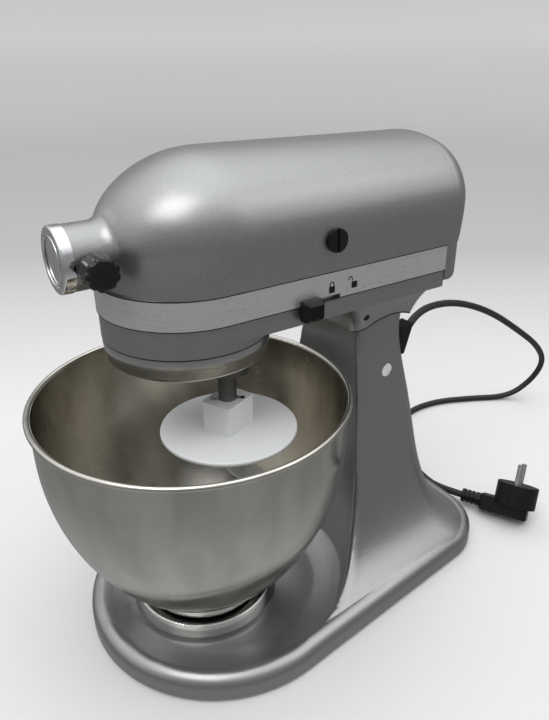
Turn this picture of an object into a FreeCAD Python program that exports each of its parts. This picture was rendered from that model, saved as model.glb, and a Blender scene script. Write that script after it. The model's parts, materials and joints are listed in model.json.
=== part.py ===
import FreeCAD, Part
import math
import os
import re

import Sketcher

# Tilt-head stand mixer. Millimetres, +Z up, hub towards -X, lock lever on the -Y side.
# The origin is under the middle of the mixer, on the surface that it stands on.

SIZES = [
    # Whole object
    ("overall_length", 358.0),
    ("overall_height", 353.0),
    ("running_clearance", 0.05),
    ("part_clearance", 0.3),
    # Bowl
    ("bowl_rim_diameter", 221.0),
    ("bowl_rim_height", 192.4),
    ("bowl_rim_bead", 1.9),
    ("bowl_side_diameter", 215.0),
    ("bowl_shoulder_height", 165.0),
    ("bowl_knuckle_diameter", 121.0),
    ("bowl_knuckle_height", 47.5),
    ("bowl_bottom_height", 28.0),
    ("bowl_wall", 1.2),
    ("bowl_foot_diameter", 95.0),
    ("bowl_foot_wall", 1.5),
    ("bowl_foot_clearance", 0.1),
    # Clamp plate under the bowl
    ("clamp_plate_diameter", 112.0),
    ("clamp_rim_diameter", 105.6),
    ("clamp_rim_wall", 2.0),
    ("clamp_rim_height", 26.0),
    ("clamp_plate_thickness", 3.0),
    ("clamp_ring_height", 6.0),
    ("clamp_ring_wall", 4.0),
    ("clamp_screw_circle", 60.0),
    ("clamp_screw_diameter", 5.0),
    ("clamp_screw_head", 9.0),
    ("clamp_screw_head_height", 2.4),
    ("clamp_screw_length", 7.0),
    # Base casting
    ("foot_height", 3.0),
    ("foot_diameter", 20.0),
    ("foot_seat_depth", 3.0),
    ("foot_boss_diameter", 26.0),
    ("foot_front_reach", 78.0),
    ("foot_front_spread", 62.0),
    ("foot_rear_x", 140.0),
    ("foot_rear_spread", 52.0),
    ("base_top_height", 22.0),
    ("base_edge_round", 9.0),
    ("base_ledge", 1.2),
    ("base_crest_drop", 6.0),
    ("base_front_radius", 104.5),
    ("base_front_setback", 16.5),
    ("base_taper", 6.2),
    ("base_corner_radius", 50.0),
    ("base_wall", 6.0),
    ("base_hollow_height", 10.0),
    ("dish_floor_height", 15.0),
    ("dish_floor_radius", 80.0),
    ("dish_rim_height", 21.6),
    ("dish_rim_radius", 95.5),
    ("dish_side_height", 96.0),
    ("dish_side_radius", 107.6),
    # Column sections, from the base upwards
    ("flare_height", 30.0),
    ("flare_centre", -18.0),
    ("flare_half_width", 78.0),
    ("flare_rear", 157.0),
    ("flare_corner", 38.0),
    ("skirt_height", 55.0),
    ("skirt_centre", 25.0),
    ("skirt_half_width", 58.0),
    ("skirt_rear", 139.0),
    ("skirt_corner", 28.0),
    ("shin_height", 105.0),
    ("shin_centre", 50.0),
    ("shin_half_width", 47.0),
    ("shin_rear", 122.5),
    ("shin_corner", 21.0),
    ("waist_height", 165.0),
    ("waist_centre", 62.0),
    ("waist_half_width", 42.5),
    ("waist_rear", 107.0),
    ("waist_corner", 18.0),
    ("column_top_height", 234.0),
    ("column_top_centre", 66.0),
    ("column_top_half_width", 40.0),
    ("column_top_rear", 97.0),
    ("column_top_corner", 16.0),
    ("column_taper", 2.5),
    ("core_low_centre", 95.0),
    ("core_low_half_width", 42.0),
    ("core_low_rear", 146.0),
    ("core_mid_height", 44.0),
    ("core_mid_centre", 94.0),
    ("core_mid_half_width", 32.0),
    ("core_mid_rear", 130.0),
    ("core_top_height", 140.0),
    ("core_top_centre", 88.0),
    ("core_top_half_width", 20.0),
    ("core_top_rear", 106.0),
    ("core_corner", 12.0),
    # Hinge
    ("hinge_x", 75.4),
    ("hinge_height", 182.9),
    ("hinge_pin_diameter", 10.0),
    ("hinge_pin_proud", 0.6),
    ("hinge_seam_radius", 46.0),
    ("hinge_seam_gap", 1.2),
    ("tongue_half_width", 15.0),
    ("tongue_lug_radius", 16.0),
    ("tongue_rear_reach", 8.0),
    ("slot_rear_rise", 10.0),
    # Head
    ("parting_height", 269.0),
    ("band_bottom", 259.2),
    ("band_top", 278.4),
    ("band_width", 111.6),
    ("band_thickness", 1.0),
    ("head_seam_x", 111.0),
    ("housing_lip_width", 112.8),
    ("housing_belly_width", 117.0),
    ("belly_height", 305.0),
    ("belly_round", 42.0),
    ("housing_wall", 3.0),
    ("housing_rear_drop", 3.0),
    ("hub_height", 299.0),
    ("hub_diameter", 38.6),
    ("hub_face_x", -141.0),
    ("hub_bore_diameter", 25.6),
    ("hub_bore_depth", 22.0),
    ("hub_blend", 12.0),
    ("hub_root", 57.0),
    ("nose_start", 15.0),
    ("nose_lead", 10.0),
    ("nose_reach", 54.0),
    ("nose_tip_height", 312.0),
    ("hub_boss_diameter", 30.0),
    ("hub_boss_rear_x", -99.0),
    ("end_cover_depth", 21.0),
    ("end_cover_round", 18.0),
    ("end_cover_bottom", 252.0),
    ("end_screw_head", 11.0),
    ("end_screw_height", 2.0),
    ("end_screw_shank", 5.0),
    ("end_screw_length", 20.0),
    ("end_screw_z", 318.0),
    # Gearcase
    ("gearcase_bottom", 247.0),
    ("gearcase_wall", 3.5),
    ("nose_bottom", 241.6),
    ("cup_diameter", 101.6),
    ("cup_floor", 254.0),
    ("cup_floor_thickness", 4.0),
    ("neck_top_height", 250.5),
    ("neck_top_front", 6.0),
    ("neck_top_rear", 124.0),
    ("neck_top_half", 52.5),
    ("neck_mid_height", 238.0),
    ("neck_mid_front", 33.0),
    ("neck_mid_rear", 109.0),
    ("neck_mid_half", 44.5),
    ("neck_low_height", 214.0),
    ("neck_low_front", 46.5),
    ("neck_low_rear", 98.0),
    ("neck_low_half", 40.4),
    ("neck_corner", 12.0),
    ("neck_screw_x", 50.0),
    ("neck_screw_height", 232.6),
    ("neck_screw_diameter", 5.0),
    ("neck_screw_face", 39.4),
    ("neck_screw_length", 9.0),
    # Planetary drive under the head
    ("planet_offset", 28.0),
    ("planet_angle", -58.0),
    ("ring_gear_bottom", 243.6),
    ("ring_gear_height", 9.0),
    ("ring_teeth", 40.0),
    ("beater_teeth", 12.0),
    ("gear_backlash", 0.3),
    ("carrier_diameter", 98.8),
    ("carrier_bottom", 225.5),
    ("carrier_top", 239.5),
    ("carrier_wall", 4.0),
    ("carrier_hub_diameter", 29.0),
    ("boss_diameter", 30.0),
    ("boss_bottom", 214.0),
    ("boss_top", 243.0),
    ("drip_ring_top", 241.2),
    ("drip_ring_top_diameter", 109.0),
    ("drip_ring_bottom_diameter", 106.4),
    ("drip_ring_round", 3.0),
    ("drip_ring_wall", 1.4),
    ("beater_shaft_diameter", 12.4),
    ("beater_shaft_bottom", 182.0),
    ("beater_shaft_top", 253.0),
    ("cross_pin_diameter", 4.0),
    ("cross_pin_length", 22.0),
    ("cross_pin_height", 190.0),
    # Dough hook
    ("hook_collar_length", 33.0),
    ("hook_collar_width", 27.0),
    ("hook_collar_corner", 8.0),
    ("hook_collar_top", 196.0),
    ("hook_disc_diameter", 94.0),
    ("hook_disc_bottom", 168.5),
    ("hook_disc_thickness", 3.5),
    ("hook_disc_round", 1.5),
    ("hook_socket_clearance", 0.1),
    ("hook_slot_clearance", 0.4),
    ("hook_turn", 30.0),
    ("hook_rod_diameter", 14.0),
    ("hook_stem_bottom", 150.0),
    ("hook_elbow_radius", 24.0),
    ("hook_elbow_turn", 55.0),
    ("hook_sweep_radius", 52.0),
    ("hook_sweep_turn", 110.0),
    ("hook_tip_round", 5.0),
    # Vertical centre shaft and its gears
    ("centre_shaft_diameter", 12.0),
    ("centre_shaft_bottom", 228.0),
    ("centre_shaft_top", 291.0),
    ("centre_bush_diameter", 20.0),
    ("centre_boss_diameter", 28.0),
    ("centre_boss_top", 264.0),
    ("centre_gear_bottom", 270.0),
    ("centre_gear_height", 8.0),
    ("centre_gear_hub", 24.0),
    ("centre_teeth", 36.0),
    ("transfer_teeth", 12.0),
    ("transfer_module", 1.75),
    ("transfer_side", 22.0),
    ("transfer_shaft_diameter", 8.0),
    ("transfer_shaft_top", 305.5),
    ("transfer_boss_diameter", 16.0),
    ("transfer_boss_top", 266.0),
    ("transfer_seat", 256.0),
    ("wheel_teeth", 20.0),
    ("wheel_face", 9.0),
    ("worm_starts", 2.0),
    ("worm_pitch_diameter", 12.0),
    ("worm_length", 24.0),
    ("bevel_teeth", 24.0),
    ("hub_bevel_teeth", 16.0),
    ("bevel_module", 1.5),
    ("bevel_face_share", 0.66),
    ("bevel_back", 3.0),
    ("hub_shaft_diameter", 16.0),
    ("hub_shaft_flange", 22.0),
    ("hub_shaft_flange_thickness", 3.0),
    ("hub_socket_square", 8.4),
    ("hub_socket_depth", 18.0),
    # Motor
    ("motor_shaft_diameter", 8.0),
    ("motor_shaft_front", -46.0),
    ("motor_shaft_rear", 107.0),
    ("front_bracket_x", -5.0),
    ("rear_bracket_x", 97.0),
    ("bracket_thickness", 8.0),
    ("bracket_width", 26.0),
    ("motor_bush_diameter", 16.0),
    ("brush_x", 6.7),
    ("commutator_length", 13.0),
    ("commutator_diameter", 24.0),
    ("core_front_x", 30.0),
    ("core_length", 40.0),
    ("core_diameter", 48.0),
    ("core_slots", 12.0),
    ("core_slot_width", 3.0),
    ("core_slot_depth", 8.0),
    ("stator_air_gap", 0.8),
    ("stator_diameter", 76.0),
    ("cradle_length", 32.0),
    ("cradle_half_width", 30.0),
    ("cradle_top", 280.0),
    ("fan_x", 77.0),
    ("fan_width", 9.0),
    ("fan_diameter", 62.0),
    ("fan_hub", 22.0),
    ("fan_blades", 9.0),
    ("fan_blade", 1.6),
    ("control_plate_x", 107.6),
    ("control_plate_thickness", 2.0),
    ("control_plate_width", 60.0),
    ("control_plate_top", 326.0),
    ("brush_holder_diameter", 13.0),
    ("brush_width", 6.0),
    ("brush_depth", 8.0),
    ("brush_length", 20.0),
    ("brush_cap_diameter", 15.0),
    ("brush_cap_height", 2.8),
    ("brush_cap_slot", 1.8),
    ("brush_cap_slot_depth", 1.2),
    # Levers and knobs
    ("lever_slot_bottom", 258.3),
    ("lever_slot_top", 262.3),
    ("lever_stem_length", 9.0),
    ("lever_knob_length", 15.6),
    ("lever_knob_bottom", 250.4),
    ("lever_knob_top", 264.0),
    ("lever_knob_depth", 7.6),
    ("lever_knob_gap", 0.6),
    ("lever_knob_chamfer", 2.5),
    ("lever_bar_depth", 4.0),
    ("lever_bar_bottom", 258.6),
    ("lever_bar_top", 262.0),
    ("lever_bar_length", 52.0),
    ("lock_x", -10.6),
    ("lock_travel", 20.0),
    ("speed_x", 40.0),
    ("speed_travel", 32.0),
    ("speed_rod_diameter", 4.0),
    ("speed_rod_rear", 104.0),
    ("knob_x", -131.6),
    ("knob_z", 297.0),
    ("knob_diameter", 20.0),
    ("knob_length", 13.5),
    ("knob_end_y", -36.5),
    ("knob_round", 3.0),
    ("knob_neck_diameter", 13.0),
    ("knob_stud_diameter", 7.0),
    ("knob_stud_end_y", -13.4),
    ("cover_diameter", 39.4),
    ("cover_thickness", 7.0),
    ("cover_dome", 1.6),
    ("cover_recess_diameter", 31.0),
    ("cover_recess", 0.8),
    ("cover_plug_length", 8.0),
    ("cover_plug_clearance", 0.15),
    ("cover_seat_gap", 0.1),
    # Cord, its strain relief and plug
    ("cord_diameter", 6.6),
    ("relief_x", 104.0),
    ("relief_y", -24.5),
    ("relief_height", 193.0),
    ("relief_turn", 36.0),
    ("relief_front_x", 97.0),
    ("relief_rear_x", 110.0),
    ("relief_width", 13.0),
    ("relief_bottom", 186.0),
    ("relief_top", 205.0),
    ("relief_sleeve_diameter", 10.4),
    ("relief_sleeve_tip", 8.6),
    ("relief_sleeve_length", 14.0),
    ("plug_x", 213.0),
    ("plug_y", -80.0),
    ("plug_turn", -68.0),
    ("plug_roll", -28.0),
    ("plug_tilt", -3.0),
    ("plug_lift", 5.3),
    ("plug_face_diameter", 37.0),
    ("plug_face_bottom", 11.0),
    ("plug_face_top", 31.0),
    ("plug_block_rear", -30.0),
    ("plug_block_front", 13.0),
    ("plug_block_width", 17.0),
    ("plug_block_height", 14.0),
    ("plug_round", 3.0),
    ("plug_sleeve_diameter", 13.0),
    ("plug_sleeve_end", -48.0),
    ("plug_sleeve_height", 7.0),
    ("plug_rib_pitch", 4.0),
    ("plug_rib_depth", 1.0),
    ("plug_pin_diameter", 4.8),
    ("plug_pin_spacing", 19.0),
    ("plug_pin_length", 19.0),
]

doc = FreeCAD.newDocument("stand_mixer")
sheet = doc.addObject("Spreadsheet::Sheet", "Sizes")
for row, (alias, number) in enumerate(SIZES, start=1):
    sheet.set("A%d" % row, alias)
    sheet.set("B%d" % row, "%g" % number)
    sheet.setAlias("B%d" % row, alias)
doc.recompute()

# Places and lengths that follow from the sizes above
DERIVED = {
    "bowl_x": "((bowl_rim_diameter - overall_length) / 2)",
    "base_rear_x": "(overall_length / 2)",
    "dish_x": "(bowl_x + base_front_setback)",
    "bowl_foot_bottom": "(dish_floor_height + clamp_plate_thickness + bowl_foot_clearance)",
    "bowl_side_in": "((bowl_side_diameter - bowl_knuckle_diameter) / 2)",
    "bowl_side_rise": "(bowl_shoulder_height - bowl_knuckle_height)",
    "bowl_curve": "((bowl_side_in ^ 2 + bowl_side_rise ^ 2) / (2 * bowl_side_in))",
    "bowl_lean_up": "(bowl_side_rise / bowl_curve)",
    "bowl_lean_out": "((bowl_curve - bowl_side_in) / bowl_curve)",
    "bowl_heel": "((bowl_knuckle_height - bowl_bottom_height) / (1 - bowl_lean_up))",
    "bowl_flat": "(bowl_knuckle_diameter / 2 - bowl_heel * bowl_lean_out)",
    "planet_x": "(bowl_x + planet_offset * cos(planet_angle))",
    "planet_y": "(planet_offset * sin(planet_angle))",
    "planet_module": "(2 * planet_offset / (ring_teeth - beater_teeth))",
    "transfer_reach": "(transfer_module * (centre_teeth + transfer_teeth) / 2)",
    "transfer_x": "(bowl_x + sqrt(transfer_reach ^ 2 - transfer_side ^ 2))",
    "wheel_pitch": "(transfer_side - worm_pitch_diameter / 2)",
    "side_inner": "(band_width / 2 - band_thickness - gearcase_wall)",
    "tray_floor": "(gearcase_bottom + gearcase_wall)",
    "cup_top": "(cup_floor + cup_floor_thickness)",
    "hub_bore_end": "(hub_face_x + hub_bore_depth)",
}
NAMES = {alias for alias, number in SIZES}


def bound(text):
    """Expression text with derived places written out and every size pointed at the spreadsheet."""
    text = str(text)
    while any(re.search(r"\b%s\b" % name, text) for name in DERIVED):
        text = re.sub(r"\b[a-z_]+\b", lambda word: DERIVED.get(word[0], word[0]), text)
    return re.sub(r"\b[a-z_]+\b", lambda word: "Sizes." + word[0] if word[0] in NAMES else word[0], text)


def value(text):
    """Number that an expression has with the present sizes."""
    return float(sheet.evalExpression(bound(text)))


def vector(x, y, z):
    """Point from three expressions."""
    return FreeCAD.Vector(value(x), value(y), value(z))


# Sketches and features


def new_body(label, x="0", y="0", z="0"):
    """Body with its own label, placed by three expressions."""
    body = doc.addObject("PartDesign::Body", label)
    body.Label = label
    for axis, text in (("x", x), ("y", y), ("z", z)):
        body.setExpression("Placement.Base.%s" % axis, bound(text))
    return body


def turned(body, axis, angle):
    """Turn a body about one of the frame's axes by an angle in degrees."""
    for name in "xyz":
        body.setExpression("Placement.Rotation.Axis.%s" % name, "1" if name == axis else "0")
    body.setExpression("Placement.Rotation.Angle", bound(angle))


def arc_between(start, end, radius, direction):
    """Circle arc of less than half a turn from start to end."""
    chord = end - start
    half = chord.Length / 2
    rise = math.sqrt(max(radius ** 2 - half ** 2, 0))
    left = FreeCAD.Vector(-chord.y, chord.x, 0).normalize()
    side = 1 if direction == "ccw" else -1
    centre = start + chord * 0.5 + left * (rise * side)
    first, last = (start, end) if direction == "ccw" else (end, start)
    angles = [math.atan2(point.y - centre.y, point.x - centre.x) for point in (first, last)]
    if angles[1] < angles[0]:
        angles[1] += 2 * math.pi
    circle = Part.Circle(centre, FreeCAD.Vector(0, 0, 1), radius)
    return Part.ArcOfCircle(circle, *angles)


def drive(sketch, kind, text, *places):
    """Dimension of a sketch that follows an expression."""
    index = sketch.addConstraint(Sketcher.Constraint(kind, *places, value(text)))
    sketch.setExpression("Constraints[%d]" % index, bound(text))


def drive_point(sketch, geometry, point, x, y):
    """Tie a point of a sketch to the sketch's origin."""
    drive(sketch, "DistanceX", x, -1, 1, geometry, point)
    drive(sketch, "DistanceY", y, -1, 1, geometry, point)


def add_circle(sketch, x, y, radius):
    """Circle from expressions for its centre and radius."""
    circle = Part.Circle(vector(x, y, "0"), FreeCAD.Vector(0, 0, 1), value(radius))
    geometry = sketch.addGeometry(circle)
    drive_point(sketch, geometry, 3, x, y)
    drive(sketch, "Radius", radius, geometry)


def add_outline(sketch, corners, closed=True):
    """Outline of lines and arcs; a corner is (x, y) or (x, y, direction, radius of the arc to the next)."""
    places = [vector(corner[0], corner[1], "0") for corner in corners]
    last = corners[-1]
    corners = corners if closed else corners[:-1]
    begins = []
    ends = []
    first = sketch.GeometryCount
    for index, corner in enumerate(corners):
        start = places[index]
        end = places[(index + 1) % len(places)]
        if len(corner) == 2:
            sketch.addGeometry(Part.LineSegment(start, end))
        else:
            sketch.addGeometry(arc_between(start, end, value(corner[3]), corner[2]))
        clockwise = len(corner) > 2 and corner[2] == "cw"
        begins.append(2 if clockwise else 1)
        ends.append(1 if clockwise else 2)
    for index, corner in enumerate(corners):
        before = (index - 1) % len(corners)
        if closed or index > 0:
            joint = Sketcher.Constraint("Coincident", first + before, ends[before], first + index,
                                        begins[index])
            sketch.addConstraint(joint)
        drive_point(sketch, first + index, begins[index], corner[0], corner[1])
        if len(corner) > 2:
            drive(sketch, "Radius", corner[3], first + index)
    if not closed:
        drive_point(sketch, first + len(corners) - 1, ends[-1], last[0], last[1])


def draw(body, plane, loops, offset="0"):
    """Sketch on one of the body's own planes, moved along the plane's normal by offset."""
    sketch = body.newObject("Sketcher::SketchObject", body.Label + "_sketch")
    support = [feature for feature in body.Origin.OriginFeatures if feature.Role == plane + "_Plane"][0]
    sketch.AttachmentSupport = [(support, "")]
    sketch.MapMode = "FlatFace"
    sketch.setExpression("AttachmentOffset.Base.z", bound(offset))
    for loop in loops:
        if loop[0] == "circle":
            add_circle(sketch, *loop[1:])
        else:
            add_outline(sketch, loop)
    return sketch


def feature(body, kind, sketch):
    """New feature of a body, made from a sketch."""
    made = body.newObject("PartDesign::" + kind, body.Label + "_" + kind.lower())
    made.Profile = sketch
    return made


def pad(body, plane, loops, low, high):
    """Solid between two heights along a plane's normal."""
    made = feature(body, "Pad", draw(body, plane, loops, low))
    made.setExpression("Length", bound("%s - (%s)" % (high, low)))
    return made


def pocket(body, plane, loops, low, high):
    """Cut between two heights along a plane's normal."""
    made = feature(body, "Pocket", draw(body, plane, loops, high))
    made.setExpression("Length", bound("%s - (%s)" % (high, low)))
    return made


def spin(body, plane, loops, axis="V_Axis", angle="360", kind="Revolution"):
    """Solid or cut of revolution about an axis of its sketch."""
    sketch = draw(body, plane, loops)
    made = feature(body, kind, sketch)
    made.ReferenceAxis = (sketch, [axis])
    made.setExpression("Angle", bound(angle))
    return made


def loft(body, sketches, kind="AdditiveLoft", ruled=False):
    """Solid or cut through a row of sketches."""
    made = feature(body, kind, sketches[0])
    made.Sections = sketches[1:]
    made.Ruled = ruled
    return made


def round_edges(body, radius, chosen, kind="Fillet"):
    """Fillet or chamfer of the edges that a test picks."""
    doc.recompute()
    tip = body.Tip
    names = ["Edge%d" % number for number, edge in enumerate(tip.Shape.Edges, start=1) if chosen(edge)]
    made = body.newObject("PartDesign::" + kind, body.Label + "_" + kind.lower())
    made.Base = (tip, names)
    made.setExpression("Radius" if kind == "Fillet" else "Size", bound(radius))
    return made


def box_loop(x_low, x_high, y_low, y_high):
    """Rectangle."""
    return [(x_low, y_low), (x_high, y_low), (x_high, y_high), (x_low, y_high)]


def round_box_loop(x_low, x_high, y_low, y_high, corner):
    """Rectangle with round corners."""
    near_x = "%s + %s" % (x_low, corner)
    far_x = "%s - (%s)" % (x_high, corner)
    near_y = "%s + %s" % (y_low, corner)
    far_y = "%s - (%s)" % (y_high, corner)
    return [
        (near_x, y_low), (far_x, y_low, "ccw", corner),
        (x_high, near_y), (x_high, far_y, "ccw", corner),
        (far_x, y_high), (near_x, y_high, "ccw", corner),
        (x_low, far_y), (x_low, near_y, "ccw", corner),
    ]


def boat_loop(centre, half, rear, corner, taper):
    """Plan of the base: a round front, sides that close in by a taper angle, and round rear corners."""
    lean_y = "(%s) * cos(%s)" % (half, taper)
    turn_x = "(%s - (%s))" % (rear, corner)
    turn_y = "((%s - (%s) - sin(%s) * (%s - (%s))) / cos(%s))" % (half, corner, taper, turn_x, centre, taper)
    side_x = "%s + (%s) * sin(%s)" % (centre, half, taper)
    edge_x = "%s + (%s) * sin(%s)" % (turn_x, corner, taper)
    edge_y = "%s + (%s) * cos(%s)" % (turn_y, corner, taper)
    front_x = "%s - (%s)" % (centre, half)
    return [
        (side_x, lean_y, "ccw", half), (front_x, "0", "ccw", half),
        (side_x, "-(%s)" % lean_y), (edge_x, "-(%s)" % edge_y, "ccw", corner),
        (rear, "-(%s)" % turn_y), (rear, turn_y, "ccw", corner),
        (edge_x, edge_y),
    ]


def stadium_loop(half, rear, centre="bowl_x"):
    """Plan of the head: a half circle about the bowl's axis with straight sides to the rear."""
    return [
        (centre, half, "ccw", half), ("%s - (%s)" % (centre, half), "0", "ccw", half),
        (centre, "-(%s)" % half), (rear, "-(%s)" % half), (rear, half),
    ]


def tube(body, plane, x, y, outer, inner, low, high):
    """Round bush between two heights."""
    loops = [("circle", x, y, "(%s) / 2" % outer), ("circle", x, y, "(%s) / 2" % inner)]
    return pad(body, plane, loops, low, high)


# Stand


def base_casting():
    """Cast base and column in one, dished for the bowl, open below and forked at the top for the head."""
    body = new_body("base_casting")
    outline = boat_loop("dish_x", "base_front_radius", "base_rear_x", "base_corner_radius", "base_taper")
    pad(body, "XY", [outline], "foot_height", "base_top_height")
    top = value("base_top_height")
    round_edges(body, "base_edge_round", lambda edge: abs(edge.BoundBox.ZMin - top) < 0.01)
    crest = boat_loop("dish_x", "base_front_radius - base_ledge", "base_rear_x - base_ledge",
                      "base_corner_radius - base_ledge", "base_taper")
    sections = [draw(body, "XY", [crest], "base_top_height - base_crest_drop")]
    for part in ("flare", "skirt", "shin", "waist", "column_top"):
        loop = boat_loop(part + "_centre", part + "_half_width", part + "_rear", part + "_corner",
                         "column_taper")
        sections.append(draw(body, "XY", [loop], part + "_height"))
    loft(body, sections)
    lean = "(dish_side_radius - dish_rim_radius)"
    scoop = "((dish_side_height - dish_rim_height) ^ 2 + %s ^ 2) / (2 * %s)" % (lean, lean)
    dish = [
        ("0", "dish_floor_height"), ("dish_floor_radius", "dish_floor_height"),
        ("dish_rim_radius", "dish_rim_height", "ccw", scoop),
        ("dish_side_radius", "dish_side_height"), ("dish_side_radius", "overall_height"),
        ("0", "overall_height"),
    ]
    groove_body_at(body, dish, "dish_x")
    hollow = boat_loop("dish_x", "base_front_radius - base_wall", "base_rear_x - base_wall",
                       "base_corner_radius - base_wall", "base_taper")
    pocket(body, "XY", [hollow], "0", "base_hollow_height")
    core = []
    for part, height in (("core_low", "base_hollow_height - 1"), ("core_mid", "core_mid_height"),
                         ("core_top", "core_top_height")):
        loop = boat_loop(part + "_centre", part + "_half_width", part + "_rear", "core_corner",
                         "column_taper")
        core.append(draw(body, "XY", [loop], height))
    loft(body, core, "SubtractiveLoft")
    screws = [("circle", "bowl_x + " + x, y, "clamp_screw_diameter / 2") for x, y in clamp_screw_places()]
    pocket(body, "XY", screws, "0", "bowl_bottom_height")
    bosses = [("circle", x, y, "foot_boss_diameter / 2") for x, y in foot_places()]
    pad(body, "XY", bosses, "foot_height", "base_hollow_height + 1")
    seats = [("circle", x, y, "foot_diameter / 2") for x, y in foot_places()]
    pocket(body, "XY", seats, "0", "foot_height + foot_seat_depth")
    reach = "hinge_seam_radius * cos(20)"
    rise = "hinge_height + hinge_seam_radius * sin(20)"
    above = [
        ("hinge_x - (%s)" % reach, rise, "cw", "hinge_seam_radius"), ("hinge_x + %s" % reach, rise),
        ("hinge_x + %s" % reach, "overall_height"), ("hinge_x - (%s)" % reach, "overall_height"),
    ]
    pocket(body, "XZ", [above], "-neck_top_half", "neck_top_half")
    slot = "(tongue_lug_radius + part_clearance)"
    fork = [
        ("hinge_x - %s" % slot, "hinge_height", "ccw", slot),
        ("hinge_x", "hinge_height - %s" % slot, "ccw", slot),
        ("hinge_x + %s" % slot, "hinge_height"),
        ("column_top_rear + waist_rear", "hinge_height + slot_rear_rise"),
        ("column_top_rear + waist_rear", "overall_height"), ("hinge_x - %s" % slot, "overall_height"),
    ]
    half_slot = "(tongue_half_width + part_clearance)"
    pocket(body, "XZ", [fork], "-%s" % half_slot, half_slot)
    pin = [("circle", "hinge_x", "hinge_height", "hinge_pin_diameter / 2")]
    pocket(body, "XZ", pin, "-neck_top_half", "neck_top_half")
    seat = box_loop("relief_y - relief_width / 2", "relief_y + relief_width / 2", "relief_bottom",
                    "relief_top")
    pocket(body, "YZ", [seat], "relief_front_x", "base_rear_x")
    return body


def groove_body_at(body, loop, x):
    """Cut turned about a vertical axis that stands at x."""
    sketch = draw(body, "XZ", [loop])
    sketch.setExpression("AttachmentOffset.Base.x", bound(x))
    made = feature(body, "Groove", sketch)
    made.ReferenceAxis = (sketch, ["V_Axis"])
    made.Angle = 360
    return made


def foot_places():
    """Centres of the rubber feet."""
    front_x = "dish_x - foot_front_reach * 0.75"
    return [
        (front_x, "foot_front_spread"), (front_x, "-foot_front_spread"),
        ("foot_rear_x", "foot_rear_spread"), ("foot_rear_x", "-foot_rear_spread"),
    ]


def base_feet():
    """Rubber feet, pressed into the bosses under the base."""
    body = new_body("base_feet")
    loops = [("circle", x, y, "foot_diameter / 2") for x, y in foot_places()]
    pad(body, "XY", loops, "0", "foot_height + foot_seat_depth")
    return body


def bowl_clamp_plate():
    """Round plate with a bright rim about the bowl's foot and a ring that the foot turns on."""
    body = new_body("bowl_clamp_plate", "bowl_x")
    rim = "(clamp_rim_diameter / 2)"
    lip = "(clamp_rim_wall / 2)"
    ring = "(bowl_foot_diameter / 2 - bowl_foot_wall - part_clearance)"
    top = "(dish_floor_height + clamp_plate_thickness)"
    plate = [
        ("0", "dish_floor_height"), ("clamp_plate_diameter / 2", "dish_floor_height"),
        ("clamp_plate_diameter / 2", top), (rim, top), (rim, "clamp_rim_height - %s" % lip, "ccw", lip),
        ("%s - %s" % (rim, lip), "clamp_rim_height", "ccw", lip),
        (rim + " - clamp_rim_wall", "clamp_rim_height - %s" % lip), (rim + " - clamp_rim_wall", top),
        (ring, top), (ring, top + " + clamp_ring_height"),
        (ring + " - clamp_ring_wall", top + " + clamp_ring_height"), (ring + " - clamp_ring_wall", top),
        ("0", top),
    ]
    spin(body, "XZ", [plate])
    holes = [("circle", x, y, "clamp_screw_diameter / 2") for x, y in clamp_screw_places()]
    pocket(body, "XY", holes, "0", "bowl_bottom_height")
    return body


def clamp_screw_places():
    """Centres of the clamp plate's screws about the bowl's axis."""
    return [("clamp_screw_circle / 2 * cos(%d)" % turn, "clamp_screw_circle / 2 * sin(%d)" % turn)
            for turn in (45, 135, 225, 315)]


def clamp_plate_screws():
    """Screws that hold the clamp plate down."""
    body = new_body("clamp_plate_screws", "bowl_x")
    top = "(dish_floor_height + clamp_plate_thickness)"
    heads = [("circle", x, y, "clamp_screw_head / 2") for x, y in clamp_screw_places()]
    pad(body, "XY", heads, top, top + " + clamp_screw_head_height")
    shanks = [("circle", x, y, "clamp_screw_diameter / 2") for x, y in clamp_screw_places()]
    pad(body, "XY", shanks, top + " - clamp_screw_length", top)
    return body


def hinge_pin():
    """Pin that the head tilts on, fast in the column."""
    body = new_body("hinge_pin")
    half = "(column_top_half_width + hinge_pin_proud + 1)"
    pad(body, "XZ", [("circle", "hinge_x", "hinge_height", "hinge_pin_diameter / 2")], "-%s" % half, half)
    return body


# Bowl


def bowl_shell():
    """Pressed steel bowl: rolled rim, steep side, rounded bottom."""
    body = new_body("bowl_shell", "bowl_x")
    side = "bowl_side_diameter / 2"
    knuckle = "bowl_knuckle_diameter / 2"
    rim = "(bowl_rim_height - bowl_rim_bead)"
    wall = [
        ("0", "bowl_bottom_height"), ("bowl_flat", "bowl_bottom_height", "ccw", "bowl_heel"),
        (knuckle, "bowl_knuckle_height", "ccw", "bowl_curve"), (side, "bowl_shoulder_height"),
        (side, rim), (side + " - bowl_wall", rim),
        (side + " - bowl_wall", "bowl_shoulder_height", "cw", "bowl_curve - bowl_wall"),
        (knuckle + " - bowl_wall * bowl_lean_out", "bowl_knuckle_height + bowl_wall * bowl_lean_up", "cw",
         "bowl_heel - bowl_wall"),
        ("bowl_flat", "bowl_bottom_height + bowl_wall"), ("0", "bowl_bottom_height + bowl_wall"),
    ]
    spin(body, "XZ", [wall])
    bead = ("circle", "bowl_rim_diameter / 2 - bowl_rim_bead", rim, "bowl_rim_bead")
    spin(body, "XZ", [bead])
    return body


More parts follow.
